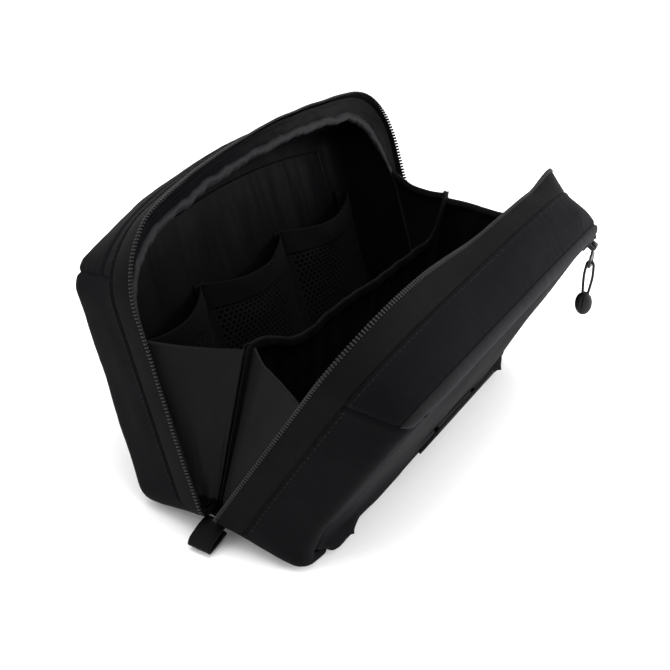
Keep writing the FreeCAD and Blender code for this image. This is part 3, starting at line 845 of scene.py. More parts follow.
pocketZip = {
    "rise": (pocketZipLow.z + pocketZipHigh.z) / 2,
    "half": pocketZipHigh.x + 1.0 * mm,
    "gap": 2.3 * mm,
    "sag": 0.6 * mm,
    "tapeDepth": 1.9 * mm,
    "tapeAcross": (0.5 * mm, 4.6 * mm),  # from the middle of the zip
    "toothDepth": 1.3 * mm,
    "toothPitch": 1.5 * mm,
    "toothSize": (0.95 * mm, 1.7 * mm, 1.1 * mm),
}


def zipLine(u, side):
    # upper or lower lip of the outer pocket's zip
    x = mix(-pocketZip["half"], pocketZip["half"], u)
    wave = pocketZip["sag"] * sin(pi * u) * 0.6 + rumple(Vector((x, 0, 0)), 40 * mm, 0.2 * mm, 2.0)
    return Vector((x, front.depth, pocketZip["rise"] - wave + side * zipGap(u)))


def panelEdges(shell, zipped):
    upTo = 0.965 if zipped else 1.0

    def bottom(u):
        return edgePoint(shell, "base", 1 - u, rimStart)

    def left(v):
        return edgePoint(shell, "end", v * upTo, endStart)

    def right(v):
        return edgePoint(shell, "end", v * upTo, endStart, True)

    def top(u):
        if not zipped:
            return edgePoint(shell, "top", u, tapeStart)
        ends = left(1), right(1)
        line = zipLine(u, -1)
        blend = smooth(min(u, 1 - u), 0.0, 0.04)
        return mix(ends[0] if u < 0.5 else ends[1], line, blend)

    return bottom, top, left, right


def panelPlace(shell, zipped, swell, seed):
    look = panelLook
    edges = panelEdges(shell, zipped)

    def place(u, v):
        spot = coons(*edges, u, v)
        fromU = min(u, 1 - u) * 2 * pouch["half"]
        fromV = min(v, 1 - v) * look["tall"]
        spot.x += copysign(look["reach"] * (1 - smooth(fromU, 0, look["hidden"])), u - 0.5)
        if v < 0.5 or not zipped:
            spot.z += copysign(look["reach"] * (1 - smooth(fromV, 0, look["hidden"])), v - 0.5)
        near = min(fromU, fromV)
        full = (sin(pi * min(max(v, 0.0), 1.0)) ** 1.2) * smooth(min(u, 1 - u), 0.0, 0.42)
        rise = swell * full - look["tuck"] * exp(-(near / (2.2 * mm)) ** 2)
        rise += pucker(near, fromU + v * 120 * mm, 0.3 * mm, 6 * mm, 9 * mm, seed)
        rise += smooth(near, 0, 16 * mm) * rumple(spot, 38 * mm, look["rumple"], seed)
        rise += 0.5 * mm
        return shell.tray.point(spot.x, spot.y + rise, spot.z)
    return place


def inflate(obj, tray, look, keepEdge):
    # swell the closed pad with a short cloth run, held back near its sewn edge
    remesh = obj.modifiers.new("remesh", "REMESH")
    remesh.mode = "VOXEL"
    remesh.voxel_size = look["voxel"]
    remesh.use_smooth_shade = True
    applyAll(obj)
    rest = [vertex.co.copy() for vertex in obj.data.vertices]
    cloth = obj.modifiers.new("cloth", "CLOTH")
    cloth.settings.use_pressure = True
    cloth.settings.uniform_pressure_force = look["pressure"]
    cloth.settings.effector_weights.gravity = 0
    cloth.settings.quality = 5
    cloth.collision_settings.use_collision = False
    cloth.point_cache.frame_start = 1
    cloth.point_cache.frame_end = look["frames"]
    scene = bpy.context.scene
    for step in range(1, look["frames"] + 1):
        scene.frame_set(step)
    graph = bpy.context.evaluated_depsgraph_get()
    swollen = [vertex.co.copy() for vertex in obj.evaluated_get(graph).data.vertices]
    obj.modifiers.clear()
    scene.frame_set(1)
    outward = tray.point(0, 1, 0) - tray.point(0, 0, 0)
    outward.normalize()
    cap = look["cap"][tray.name]
    for vertex, old, new in zip(obj.data.vertices, rest, swollen):
        move = new - old
        if move.length > cap:
            move *= cap / move.length
        if move.dot(outward) < 0:
            move *= 0.2
        vertex.co = old + move * keepEdge(old)
    rounded = obj.modifiers.new("rounded", "SUBSURF")
    rounded.levels = 1
    rounded.render_levels = 1
    applyAll(obj)
    for polygon in obj.data.polygons:
        polygon.use_smooth = True


def panelKeeper(tray, top):
    def keep(point):
        local = point - fold
        rise = tray.side * local.y * tray.sine + local.z * tray.cosine
        near = min(pouch["half"] - 12 * mm - abs(local.x), rise, top - rise)
        return smooth(near, 5 * mm, panelLook["calm"])
    return keep


def buildPanel(shell, zipped, swell, thickness, seed, nodes):
    label, inside = shell.tray.name, shell.tray.inside
    place = panelPlace(shell, zipped, swell, seed)
    panel = gridSheet(label + "OuterPanel", (150, 90), place, "shell_fabric", inside,
                      (2 * pouch["half"], 122 * mm), (0.5, 0.6))
    thicken(panel, thickness)
    applyAll(panel)
    top = pocketZip["rise"] if zipped else pouch["height"] - 16 * mm
    inflate(panel, shell.tray, panelLook, panelKeeper(shell.tray, top))
    panel.data.materials.clear()
    panel.data.materials.append(paints["panel_fabric"])
    settle(panel)
    attach(panel, label + "_half", "shell_fabric", *nodes)
    print(label, "outer panel made,", len(panel.data.polygons), "faces")


paints["panel_fabric"] = wovenCloth("panel_fabric", {**clothLooks["shell_fabric"], "onCloth": False})
buildPanel(rearShell, False, panelLook["rearSwell"], panelLook["rearThick"], 3.3,
           ("rear_panel", "rear_panel_foam"))
buildPanel(frontShell, True, panelLook["frontSwell"], panelLook["frontThick"], 6.1,
           ("front_panel", "front_panel_foam", "front_pocket_backing"))


# band between the front's top wall and the pocket zip

bandLook = {"crown": 1.1 * mm, "puckerSize": 0.14 * mm, "thickness": 2.0 * mm, "wide": 15 * mm, "cut": 0.55}


def bandPlace(u, v):
    start = tapeStart(u)
    straight = frontShell.straight("top", u, start)
    arcRun = frontShell.edge * pi / 2
    first = shellLook["bandStart"] * frontShell.edge
    cut = bandLook["cut"]
    lip = zipLine(mix(0.004, 0.996, u), 1)
    if v < cut:
        run = straight + mix(first, arcRun, v / cut)
        spot, normal = frontShell.sample("top", u, run, start)
    else:
        edge, normal = frontShell.sample("top", u, straight + arcRun, start)
        spot = edge.lerp(lip, (v - cut) / (1 - cut))
    lengthU, lengthV = frontShell.outer["top"].length, bandLook["wide"]
    fromV, fromU = min(v, 1 - v) * lengthV, min(u, 1 - u) * lengthU
    rise = bandLook["crown"] * smooth(fromU, 0, 32 * mm) * sin(pi * min(max(v, 0), 1)) ** 0.7
    rise += seamDip(min(fromV, fromU), 1.0 * mm, 1.2 * mm)
    rise += pucker(fromV, u * lengthU, bandLook["puckerSize"], 5 * mm, 7 * mm, 6.6)
    spot = spot + normal * rise
    return front.point(spot.x, spot.y, spot.z)


# a lighter copy of the shell cloth: painted highlight along the rounded band above the pocket zip
paints["edge_fabric"] = wovenCloth("edge_fabric", {
    **clothLooks["shell_fabric"],
    "tone": (0.0035, 0.0035, 0.0038),
    "lift": (0.0125, 0.0125, 0.0130),
    "sheen": 0.03,
})
# the band wears the lighter copy of the shell cloth, a painted highlight
band = gridSheet("frontZipBand", (220, 22), bandPlace, "edge_fabric", front.inside,
                 (frontShell.outer["top"].length, bandLook["wide"]), (0.3, 0.5))
thicken(band, bandLook["thickness"])
attach(band, "front_half", "shell_fabric")
print("zip band made")


# zip tapes and teeth round the rims

zipLook = {
    "tapeThickness": 0.8 * mm,
    "toothPitch": 1.75 * mm,
    "toothSize": (1.15 * mm, 2.1 * mm, 1.15 * mm),  # along the zip, across the tape, through it
    "drop": 0.5 * mm,
    "start": 0.085,  # share of the end's outline below the zip
}


class Ring:
    # the zip's way round one half: up the left end, over the top and down the right end
    def __init__(self, shell, first):
        self.shell = shell
        self.whole = shell.rim["end"].length
        self.first = first
        self.endLength = self.whole * (1 - first)
        self.topLength = shell.rim["top"].length
        self.length = 2 * self.endLength + self.topLength

    def locate(self, u):
        run = min(max(u, 0.0), 1.0) * self.length
        if run < self.endLength:
            return "end", self.first + run / self.whole, 1
        run -= self.endLength
        if run < self.topLength:
            return "top", run / self.topLength, 1
        return "end", 1 - (run - self.topLength) / self.whole, -1

    def flat(self, u, share):
        part, local, sign = self.locate(u)
        spot = self.shell.outlineAt(part, local, share)
        return Vector((spot.x * sign, spot.y))

    def spot(self, u, depth, inset):
        share = depth / self.shell.depth
        step = 0.003
        way = (self.flat(u + step, share) - self.flat(u - step, share)).normalized()
        inward = Vector((way.y, -way.x))
        return self.flat(u, share) + inward * inset, inward, way


def rimWave(track, u):
    # the soft rim doesn't run quite straight, except along the slider's end
    along = u * track.length
    slack = 1 - smooth(u, 0.66, 0.72)
    return slack * (1.3 * mm * ripple(along / (70 * mm), 1.2, 0)
            + 0.35 * mm * ripple(along / (16 * mm), 5.2, 0))


def buildTape(shell):
    track = Ring(shell, zipLook["start"])
    tray = shell.tray
    label = tray.name

    def place(u, v):
        depth = mix(pouch["rim"] + 0.2 * mm, pouch["tapeEdge"] + 1.2 * mm, v)
        flat, inward, _ = track.spot(u, depth, zipLook["drop"])
        calm = 1 - smooth(u, 0.66, 0.72)
        rise = 0.4 * mm * calm * sin(pi * v) + rimWave(track, u) * (1 - v)
        rise += calm * pucker((1 - v) * 13 * mm, u * track.length, 0.12 * mm, 5 * mm, 9 * mm, 2.2)
        rise -= 1.9 * mm * smooth(v, 0.84, 0.97)
        flat = flat - inward * rise
        return tray.point(flat.x, depth, flat.y)

    tape = gridSheet(label + "ZipTape", (260, 14), place, "zip_tape", tray.inside, (track.length, 13 * mm),
                     (0.0, 0.4))
    thicken(tape, zipLook["tapeThickness"])
    attach(tape, label + "_half", "zip_tape", label + "_zip_tape")
    shell.track = track


def toothTemplate():
    bm = bmesh.new()
    bmesh.ops.create_cube(bm, size=1.0)
    bmesh.ops.bevel(bm, geom=bm.edges[:], offset=0.24, offset_type="OFFSET", segments=1, profile=0.5,
                    affect="EDGES", material=-1)
    return meshOf("tooth", bm)


def stitchTemplate():
    bm = bmesh.new()
    bmesh.ops.create_cube(bm, size=1.0)
    lengthways = [edge for edge in bm.edges if abs((edge.verts[0].co - edge.verts[1].co).x) > 0.5]
    bmesh.ops.subdivide_edges(bm, edges=lengthways, cuts=1)
    for vertex in bm.verts:
        if abs(vertex.co.x) > 0.4:
            vertex.co.y *= 0.55
            vertex.co.z = vertex.co.z * 0.5 - 0.3
    return meshOf("stitch", bm)


tooth = toothTemplate()
stitch = stitchTemplate()


def frameMatrix(origin, along, up, size):
    along = along.normalized()
    side = up.cross(along).normalized()
    top = along.cross(side).normalized()
    turn = Matrix((along * size[0], side * size[1], top * size[2])).transposed().to_4x4()
    return Matrix.Translation(origin) @ turn


def scatter(name, template, matrices, slot):
    bm = bmesh.new()
    for matrix in matrices:
        first = len(bm.verts)
        bm.from_mesh(template)
        bm.verts.ensure_lookup_table()
        bmesh.ops.transform(bm, matrix=matrix, verts=bm.verts[first:])
    bmesh.ops.recalc_face_normals(bm, faces=bm.faces[:])
    bm.loops.layers.uv.new("cloth")
    return makeObject(name, bm, slot)


def buildTeeth(shell):
    tray, track = shell.tray, shell.track
    label = tray.name
    count = int(track.length / zipLook["toothPitch"])
    spots = []
    for k in range(2, count - 1):
        u = k / count
        depth = pouch["rim"] - 0.5 * mm
        flat, inward, way = track.spot(u, depth, 0.75 * mm)
        flat = flat - inward * rimWave(track, u)
        here = tray.point(flat.x, depth, flat.y)
        ahead = tray.point(flat.x + way.x * mm, depth, flat.y + way.y * mm) - here
        outward = tray.point(flat.x - inward.x * mm, depth, flat.y - inward.y * mm) - here
        spots.append(frameMatrix(here, ahead, outward, zipLook["toothSize"]))
    teeth = scatter(label + "ZipTeeth", tooth, spots, "zip_coil")
    attach(teeth, label + "_half", "zip_coil", label + "_zip_coil")
    print(label, "zip:", len(spots), "teeth")


for shell in shells:
    buildTape(shell)
for shell in shells:
    buildTeeth(shell)


# linings and facings

liningLook = {
    "inset": 3.9 * mm,
    "thickness": 0.5 * mm,
    "edge": 7 * mm,
    "face": 4 * mm,
    "wrinkle": 1.5 * mm,
    "facingWide": 19 * mm,
    "facingEnd": 1.4 * mm,
    "facingSag": 7.5 * mm,
    "hemRadius": 2.4 * mm,
    "facingInset": 2.2 * mm,
}


def buildLining(tray):
    look = liningLook
    label, inside = tray.name, tray.inside
    inner = Shell(tray, look["inset"], look["inset"], tray.room, look["edge"], look["edge"], look["face"])

    def wrinkles(u, v, spot):
        folds = 0.6 * ripple(spot.x / (9 * mm), spot.z / (60 * mm), 1.0 + v)
        high = smooth(spot.z, 92 * mm, 122 * mm)  # the gussets fold against the lower part
        return -mix(0.25 * mm, look["wrinkle"], high) * (0.5 + folds) * smooth(min(v, 1 - v), 0, 0.15)

    def startAt(_):
        return pouch["rim"] + 3.2 * mm

    shapes = []
    for part, mirrored, counts in (("end", False, (60, 24)), ("top", False, (150, 24)),
                                   ("end", True, (60, 24)), ("base", False, (60, 24))):
        place = shellPlace(inner, part, mirrored, wrinkles, startAt,
                           lambda u, start, part=part: inner.total(part, u, start))
        shapes.append((place, counts))
    edges = (lambda u: edgePoint(inner, "base", 1 - u, startAt),
             lambda u: edgePoint(inner, "top", u, startAt),
             lambda v: edgePoint(inner, "end", v, startAt),
             lambda v: edgePoint(inner, "end", v, startAt, True))

    def backPlace(u, v):
        spot = coons(*edges, u, v)
        near = min(min(u, 1 - u) * 0.23, min(v, 1 - v) * 0.14)
        drape = ripple(spot.x / (13 * mm), spot.z / (75 * mm), 4.0)
        fine = ripple(spot.x / (5 * mm), spot.z / (30 * mm), 9.0)
        rise = smooth(near, 0, 0.02) * (1.1 * mm + look["wrinkle"] * (drape + 0.28 * fine))
        return tray.point(spot.x, spot.y - rise, spot.z)

    shapes.append((backPlace, (170, 80)))
    pieces = []
    for k, (place, counts) in enumerate(shapes):
        piece = gridSheet(f"{label}LiningPart{k}", counts, place, "lining_cloth", inside,
                          (counts[0] * 1.6 * mm, counts[1] * 1.6 * mm))
        pieces.append(piece)
    merged = bmesh.new()
    merged.loops.layers.uv.new("cloth")
    for piece in pieces:
        merged.from_mesh(piece.data)
        bpy.data.objects.remove(piece)
    bmesh.ops.reverse_faces(merged, faces=merged.faces[:])  # the lining is seen from inside
    lining = makeObject(label + "Lining", merged, "lining_cloth")
    thicken(lining, look["thickness"])
    attach(lining, label + "_half", "lining_cloth", label + "_lining")
    print(label, "lining made")


def buildFacing(shell):
    look = liningLook
    tray, track = shell.tray, shell.track
    label, inside = tray.name, tray.inside
    endShare = track.endLength / track.length

    def place(u, v):
        # the strip hangs away from the rim along the top and lies closer down the ends
        along = u * track.length
        topness = smooth(u, endShare * 0.72, endShare * 1.12) * (1 - smooth(u, 1 - endShare * 1.02,
                                                                        1 - endShare * 0.66))
        sag = mix(look["facingEnd"], look["facingSag"], topness)
        deep = mix(1.6 * mm, 5.0 * mm, topness)
        drag = (ripple(along / (14 * mm), v * 2.0, 3.0) * 1.2
                + ripple(along / (5 * mm), v * 3.0, 8.0) * 0.45) * mm * smooth(v, 0.1, 0.6)
        depth = pouch["rim"] + 2.0 * mm + deep * v
        inset = look["facingInset"] + 1.0 * mm * smooth(u, 1 - endShare, 1 - 0.7 * endShare)
        inset += sag * v ** 1.2 + drag * (0.35 + 0.65 * topness)
        inset -= rimWave(track, u) * (1 - v)
        flat, inward, _ = track.spot(u, depth, inset)
        return Vector((flat.x, depth, flat.y)), inward, topness

    def stripPlace(u, v):
        spot, _, _ = place(u, v)
        return tray.point(*spot)

    def hemPlace(u, v):
        # a rolled, puckered hem along the strip's free edge
        spot, inward, topness = place(u, 1.0)
        along = u * track.length
        crumple = (1 + 0.34 * ripple(along / (9 * mm), cos(2 * pi * v), 2.0)
                   + 0.20 * ripple(along / (3.6 * mm), sin(2 * pi * v), 5.0))
        radius = look["hemRadius"] * mix(0.42, 1.0, topness) * crumple * smooth(min(u, 1 - u), 0.0, 0.012)
        angle = 2 * pi * v
        return tray.point(spot.x + inward.x * radius * cos(angle),
                          max(spot.y + radius * 0.85 * sin(angle), 0.6 * mm),
                          spot.z + inward.y * radius * cos(angle))

    facing = gridSheet(label + "RimFacing", (420, 14), stripPlace, "lining_cloth", inside,
                       (track.length, look["facingWide"]))
    turnOver(facing)
    thicken(facing, 0.5 * mm)
    attach(facing, label + "_half", "facing_cloth", label + "_rim_facing")
    # the hem uses the lighter copy of the lining, a painted highlight along the roll
    hem = gridSheet(label + "RimHem", (640, 14), hemPlace, "facing_cloth", inside,
                    (track.length, 15 * mm))
    bm = bmesh.new()
    bm.from_mesh(hem.data)
    bmesh.ops.remove_doubles(bm, verts=bm.verts[:], dist=1e-5)
    bmesh.ops.recalc_face_normals(bm, faces=bm.faces[:])
    bm.to_mesh(hem.data)
    bm.free()
    attach(hem, label + "_half", "facing_cloth")


def turnOver(obj):
    bm = bmesh.new()
    bm.from_mesh(obj.data)
    bmesh.ops.reverse_faces(bm, faces=bm.faces[:])
    bm.to_mesh(obj.data)
    bm.free()


for tray in (rear, front):
    buildLining(tray)
for shell in shells:
    buildFacing(shell)


# gussets, their fold bindings and the divider

midLean = (rear.lean - front.lean) / 2
gussetLook = {
    "endX": pouch["half"] - 5.7 * mm,
    "edgeDepth": 7.0 * mm,
    "sewnX": abs(joints["gusset_rear_left_fold"]["pos_m"][0] - fold.x) + 0.25 * mm,
    "foot": 12 * mm,
    "creaseFoot": 9.5 * mm,
    "top": 91 * mm,
    "tip": 86 * mm,
    "inset": 16 * mm,
    "thickness": 0.7 * mm,
    "sag": 1.7 * mm,
}


def foldInset(along):
    # the fold leans inwards as it rises
    return gussetLook["inset"] * (0.12 + 0.88 * along / gussetLook["tip"])


def midPoint(x, along):
    return Vector((fold.x + x, fold.y + along * sin(midLean), fold.z + along * cos(midLean)))


def gussetPlace(tray, sign, seed):
    look = gussetLook
    def place(u, v):
        # u from the sewn edge to the fold, v from the bottom to the top edge
        topDip = (2.6 if tray.side > 0 else 1.0) * mm * sin(pi * u) * smooth(v, 0.6, 1.0)
        corner = 0.0
        if tray.side < 0:
            corner = 9 * mm * (1 - smooth(u, 0.0, 0.22)) ** 2 * smooth(v, 0.80, 1.0)
        sewnRise = mix(look["foot"], look["top"], v) - corner
        foldRise = mix(look["creaseFoot"], look["tip"], v)
        sewn = tray.point(sign * look["sewnX"], look["edgeDepth"], sewnRise)
        crease = midPoint(sign * (look["endX"] - foldInset(foldRise)), foldRise)
        spot = sewn.lerp(crease, u)
        spot.z -= topDip
        side = Vector((sign, 0, 0))
        if tray.side < 0:  # the front gusset starts in the valley behind the fold's ridge
            spot = spot - side * 4.0 * mm * smooth(u, 0.70, 1.0)
        else:
            spot = spot + side * 1.3 * mm * smooth(u, 0.86, 1.0)
        wave = ripple(u * 2.3 + seed, v * 3.0, seed)
        fine = ripple(u * 7 + seed, v * 4.0 + 5, seed)
        drop = look["sag"] * sin(pi * u) * (0.8 * wave + 0.25 * fine)
        spot = spot - side * (drop + 1.4 * mm * sin(pi * u) * v)
        return spot
    return place


def hemmed(place, hem, sideways):
    # the top edge is turned over and a little thicker
    def placed(u, v):
        body = min(v, hem) / hem
        spot = place(u, body)
        if v > hem:
            angle = (v - hem) / (1 - hem) * pi
            spot = spot + Vector((sideways * (1 - cos(angle)) * 0.9 * mm, 0, sin(angle) * 0.8 * mm
                                  - smooth(v, hem + (1 - hem) * 0.5, 1) * 2.0 * mm))
        return spot
    return placed


for tray in (rear, front):
    for sign, end in ((-1, "left"), (1, "right")):
        seed = 1.3 + sign + 2.1 * tray.side
        place = hemmed(gussetPlace(tray, sign, seed), 0.9, -sign)
        body = f"gusset_{tray.name}_{end}"
        cloth = gridSheet(f"{end}Gusset{tray.name.capitalize()}", (44, 90), place, "gusset_cloth",
                          midPoint(0, 60 * mm), (42 * mm, 96 * mm), (0.0, 0.35))
        thicken(cloth, gussetLook["thickness"], 0.0)
        attach(cloth, body, "gusset_cloth", f"{end}_gusset_{tray.name}")
print("gussets made")


def bindingPlace(sign):
    def place(u, v):
        along = mix(gussetLook["creaseFoot"], gussetLook["tip"] + 2.5 * mm, v)
        angle = mix(-0.45, 0.45, u) * 2 * pi * 0.88
        wide = 1.0 * mm + 2.0 * mm * smooth(abs(cos(angle / 2)), 0.0, 1.0)
        centre = midPoint(sign * (gussetLook["endX"] - foldInset(along) - 0.5 * mm), along)
        bob = 0.35 * mm * ripple(along / (9 * mm), sign, 0.0)
        return centre + Vector((-sign * wide * cos(angle) * 0.9 + bob, sin(angle) * 1.15 * mm, 0))
    return place


for sign, end in ((-1, "left"), (1, "right")):
    binding = gridSheet(f"{end}FoldBinding", (14, 60), bindingPlace(sign), "binding_tape",
                        midPoint(sign * (pouch["half"] - 14 * mm), 50 * mm), (7 * mm, 92 * mm))
    thicken(binding, 0.6 * mm, 0.0)
    attach(binding, f"gusset_rear_{end}", "binding_tape", f"{end}_gusset_fold_binding")

dividerLook = {
    "leftTop": 88.5 * mm,
    "middleTop": 69.0 * mm,
    "rightTop": 64.0 * mm,
    "foot": 6 * mm,
    "half": 99 * mm,
    "thickness": 0.7 * mm,
    "wave": 2.6 * mm,
}


def dividerTop(x):
    look = dividerLook
    fromLeft = (x + look["half"]) / (60 * mm)
    left = (look["leftTop"] - look["middleTop"]) * (1 - smooth(fromLeft, 0.0, 1.0)) ** 1.2
    right = (look["leftTop"] - look["rightTop"]) * smooth(x, 76 * mm, 97 * mm)
    middle = mix(look["middleTop"], look["rightTop"], smooth(x, -20 * mm, 75 * mm))
    return middle + left + right


def dividerPlace(u, v):
    look = dividerLook
    x = mix(-look["half"], look["half"], u)
    along = mix(look["foot"], dividerTop(x), v)
    reach = gussetLook["endX"] - foldInset(along) - 1.5 * mm
    x = mix(-reach, reach, u)
    free = smooth(min(u, 1 - u), 0.0, 0.12)
    drape = ripple(x / (30 * mm), along / (60 * mm), 2.0)
    fine = ripple(x / (11 * mm), along / (40 * mm), 6.0)
    pleat = look["wave"] * free * (drape + 0.35 * fine) * smooth(v, 0.0, 0.5)
    lean = 2.2 * mm * exp(-((x - 86 * mm) / (9 * mm)) ** 2) * v
    spot = midPoint(x, along)
    return spot + Vector((0, pleat - lean, 0))


def dividerHem(u, v):
    hem = 0.93
    spot = dividerPlace(u, min(v, hem) / hem)
    if v > hem:
        angle = (v - hem) / (1 - hem) * pi
        spot = spot + Vector((0, -(1 - cos(angle)) * 0.8 * mm,
                              sin(angle) * 0.6 * mm - smooth(v, hem + 0.03, 1) * 4.0 * mm))
    return spot


divider = gridSheet("divider_cloth", (200, 60), dividerHem, "lining_cloth", midPoint(0, 40 * mm)
                    + Vector((0, 0.05, 0)), (200 * mm, 72 * mm), (0.3, 0.3))
thicken(divider, dividerLook["thickness"], 0.0)
applyAll(divider)
attach(divider, "divider", "lining_cloth", "divider", "divider_binding")
tuple(midPoint(0, 0))
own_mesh(divider)
print("divider made")


# mesh pockets

pocketBox = [rear.box(f"mesh_pocket_{name}") for name in ("left", "middle", "right")]
meshLook = {
    "foot": pocketBox[1][0].z,
    "meshTop": pocketBox[1][1].z,
    "top": rear.box("mesh_pocket_binding_middle")[1].z,
    "halfWide": (pocketBox[1][1].x - pocketBox[1][0].x) / 2,
    "seam": 4.0 * mm,
    "bow": 12.5 * mm,
    "back": rear.room - 0.9 * mm,
    "limit": 107.5 * mm,
}


def pocketBow(u, top):
    shape = max(4 * u * (1 - u), 0.0) ** 0.8
    return meshLook["bow"] * shape * (0.55 + 0.45 * top)


def pocketPlace(centre, seed, lowRise, highRise, proud):
    def place(u, v):
        x = centre + mix(-meshLook["halfWide"], meshLook["halfWide"], u)
        x = min(max(x, -meshLook["limit"]), meshLook["limit"])
        rise = mix(lowRise, highRise, v)
        level = (rise - meshLook["foot"]) / (meshLook["top"] - meshLook["foot"])
        curl = sin(pi * u)
        sag = -4.2 * mm * curl * smooth(level, 0.5, 1.0) + 2.5 * mm * (1 - curl) * smooth(level, 0.6, 1.0)
        bow = pocketBow(u, level) * smooth(level, -0.02, 0.25)
        crease = rumple(Vector((x, rise, seed)), 17 * mm, 1.5 * mm, seed) * sin(pi * u)
        depth = meshLook["back"] - 0.5 * mm - bow - crease - proud * (0.3 + 0.7 * v)
        return rear.point(x, depth, rise + sag)
    return place


for index, (name, centre) in enumerate((("left", -2), ("middle", 0), ("right", 2))):
    middle = centre * meshLook["halfWide"] + (0.2 * mm if centre else 0) * centre
    place = pocketPlace(middle, 3.0 + index, meshLook["foot"], meshLook["meshTop"] + 2 * mm, 0.0)
    inside = rear.point(middle, rear.room + 0.05, 40 * mm)
    net = gridSheet(f"meshPocket{name.capitalize()}", (60, 50), place, "pocket_mesh", inside,
                    (pocketCloth["meshRun"], 66 * mm))
    thicken(net, 0.45 * mm, 0.0)
    attach(net, "rear_half", "pocket_mesh", "mesh_pocket_" + name)
    place = pocketPlace(middle, 3.0 + index, meshLook["meshTop"], meshLook["top"], 0.9 * mm)
    tape = gridSheet(f"meshPocketBinding{name.capitalize()}", (70, 16), place, "binding_tape", inside,
                     (pocketCloth["meshRun"], 14 * mm), (0.0, 0.5))
    thicken(tape, 1.1 * mm, 0.0)
    attach(tape, "rear_half", "binding_tape", "mesh_pocket_binding_" + name)


def seamStripPlace(centre):
    def place(u, v):
        seam, limit = meshLook["seam"], meshLook["limit"]
        x = min(max(centre, seam - limit), limit - seam) + mix(-seam, seam, u)
        rise = mix(meshLook["foot"] - 2 * mm, meshLook["top"] + 3.2 * mm, v)
        lump = 0.5 * mm * ripple(x / (6 * mm), rise / (9 * mm), 1.0)
        proud = 1.3 * mm * cos(mix(-1.3, 1.3, u))
        return rear.point(x, meshLook["back"] - 0.8 * mm - proud - lump, rise)
    return place


for k, centre in enumerate((-3, -1, 1, 3)):
    place = seamStripPlace(centre * (meshLook["halfWide"] + 0.1 * mm))
    strip = gridSheet(f"pocketSeamStrip{k}", (10, 60), place, "binding_tape",
                      rear.point(0, rear.room + 0.05, 40 * mm), (9 * mm, 80 * mm))
    thicken(strip, 0.7 * mm)
    attach(strip, "rear_half", "binding_tape")
print("mesh pockets made")


# bottom fold and webbing loop

def foldPlace(u, v):
    x = mix(-pouch["half"] + 9 * mm, pouch["half"] - 9 * mm, u)
    side = mix(-1, 1, v)
    reach = 6.5 * mm
    lean = rear.lean if side > 0 else front.lean
    depth = abs(side) * reach
    dip = 1.3 * mm * cos(side * pi / 2) + 0.2 * mm
    wave = 0.35 * mm * ripple(x / (12 * mm), side, 0)
    tuckIn = 1.1 * mm * smooth(abs(side), 0.3, 0.8)
    return Vector((fold.x + x, fold.y + side * reach * cos(lean),
                   fold.z - depth * sin(lean) - dip + wave + tuckIn))


foldStrip = gridSheet("bottomFoldStrip", (120, 16), foldPlace, "shell_fabric", midPoint(0, 50 * mm),
                      (226 * mm, 13 * mm))
thicken(foldStrip, 1.0 * mm, 0.0)
applyAll(foldStrip)
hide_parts("bottom_fold")
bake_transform(foldStrip)

loopLow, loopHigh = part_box("zip_end_loop")
loopLook = {
    "width": loopHigh[1] - loopLow[1],
    "ply": 1.3 * mm,
    "droop": radians(13),
    "reach": loopHigh[0] - loopLow[0] - 7.5 * mm,
    "gap": 2.2 * mm,
}


def loopPlace(u, v):
    # u runs along the webbing from the upper root, round the tip and back to the lower root
    look = loopLook
    root = Vector((loopHigh[0], (loopLow[1] + loopHigh[1]) / 2, loopHigh[2] - 2.2 * mm))
    flat = look["reach"] - 3 * mm
    bend = pi * look["gap"]
    total = 2 * flat + bend
    run = u * total
    if run < flat:
        along, height = run, look["gap"]
    elif run < flat + bend:
        angle = (run - flat) / look["gap"]
        along, height = flat + look["gap"] * sin(angle), look["gap"] * cos(angle)
    else:
        along, height = flat - (run - flat - bend), -look["gap"]
    belly = 0.9 * mm * sin(pi * min(along / flat, 1.0))
    height = height + (belly if height > 0 else -belly * 0.4)
    turn = look["droop"]
    x = -along * cos(turn) + height * sin(turn)
    z = -along * sin(turn) + height * cos(turn)
    y = mix(-look["width"] / 2, look["width"] / 2, v)
    return Vector((root.x + x, root.y + y, max(root.z + z, 1.0 * mm)))


loopInside = (Vector(loopLow) + Vector(loopHigh)) / 2
loopInside.x = loopHigh[0] - 8 * mm
webLoop = gridSheet("webbingLoop", (70, 12), loopPlace, "webbing", loopInside, (52 * mm, loopLook["width"]))
thicken(webLoop, loopLook["ply"], 0.0)
attach(webLoop, "rear_half", "webbing", "zip_end_loop")
print("fold and loop made")


# outer pocket's zip

def pocketTapePlace(side):
    def place(u, v):
        lip = zipLine(mix(0.02, 0.98, u), 0)
        offset = side * mix(*pocketZip["tapeAcross"], v)
        return front.point(lip.x, front.depth - pocketZip["tapeDepth"], lip.z + offset)
    return place


for side, name in ((-1, "Lower"), (1, "Upper")):
    strip = gridSheet("pocketZipTape" + name, (120, 6), pocketTapePlace(side), "zip_tape", front.inside,
                      (200 * mm, 4 * mm))
    thicken(strip, 0.6 * mm)
    attach(strip, "front_half", "zip_tape")
    if side < 0:
        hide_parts("pocket_zip_tapes")

pocketTeeth = []
pocketCount = int(2 * (pocketZip["half"] - 3 * mm) / pocketZip["toothPitch"])
pocketOutward = front.point(0, 1, 0) - front.point(0, 0, 0)
for side in (-1, 1):
    for k in range(pocketCount):
        u = (k + (0.25 if side > 0 else 0.75)) / pocketCount
        lip = zipLine(mix(0.015, 0.985, u), 0)
        here = front.point(lip.x, front.depth - pocketZip["toothDepth"], lip.z + side * 0.75 * mm)
        pocketTeeth.append(frameMatrix(here, Vector((1, 0, 0)), pocketOutward, pocketZip["toothSize"]))
coil = scatter("pocketZipTeeth", tooth, pocketTeeth, "zip_coil")
attach(coil, "front_half", "zip_coil", "pocket_zip_coils")
print("pocket zip made")


# sliders and tabs: the CAD's solids with rounded edges

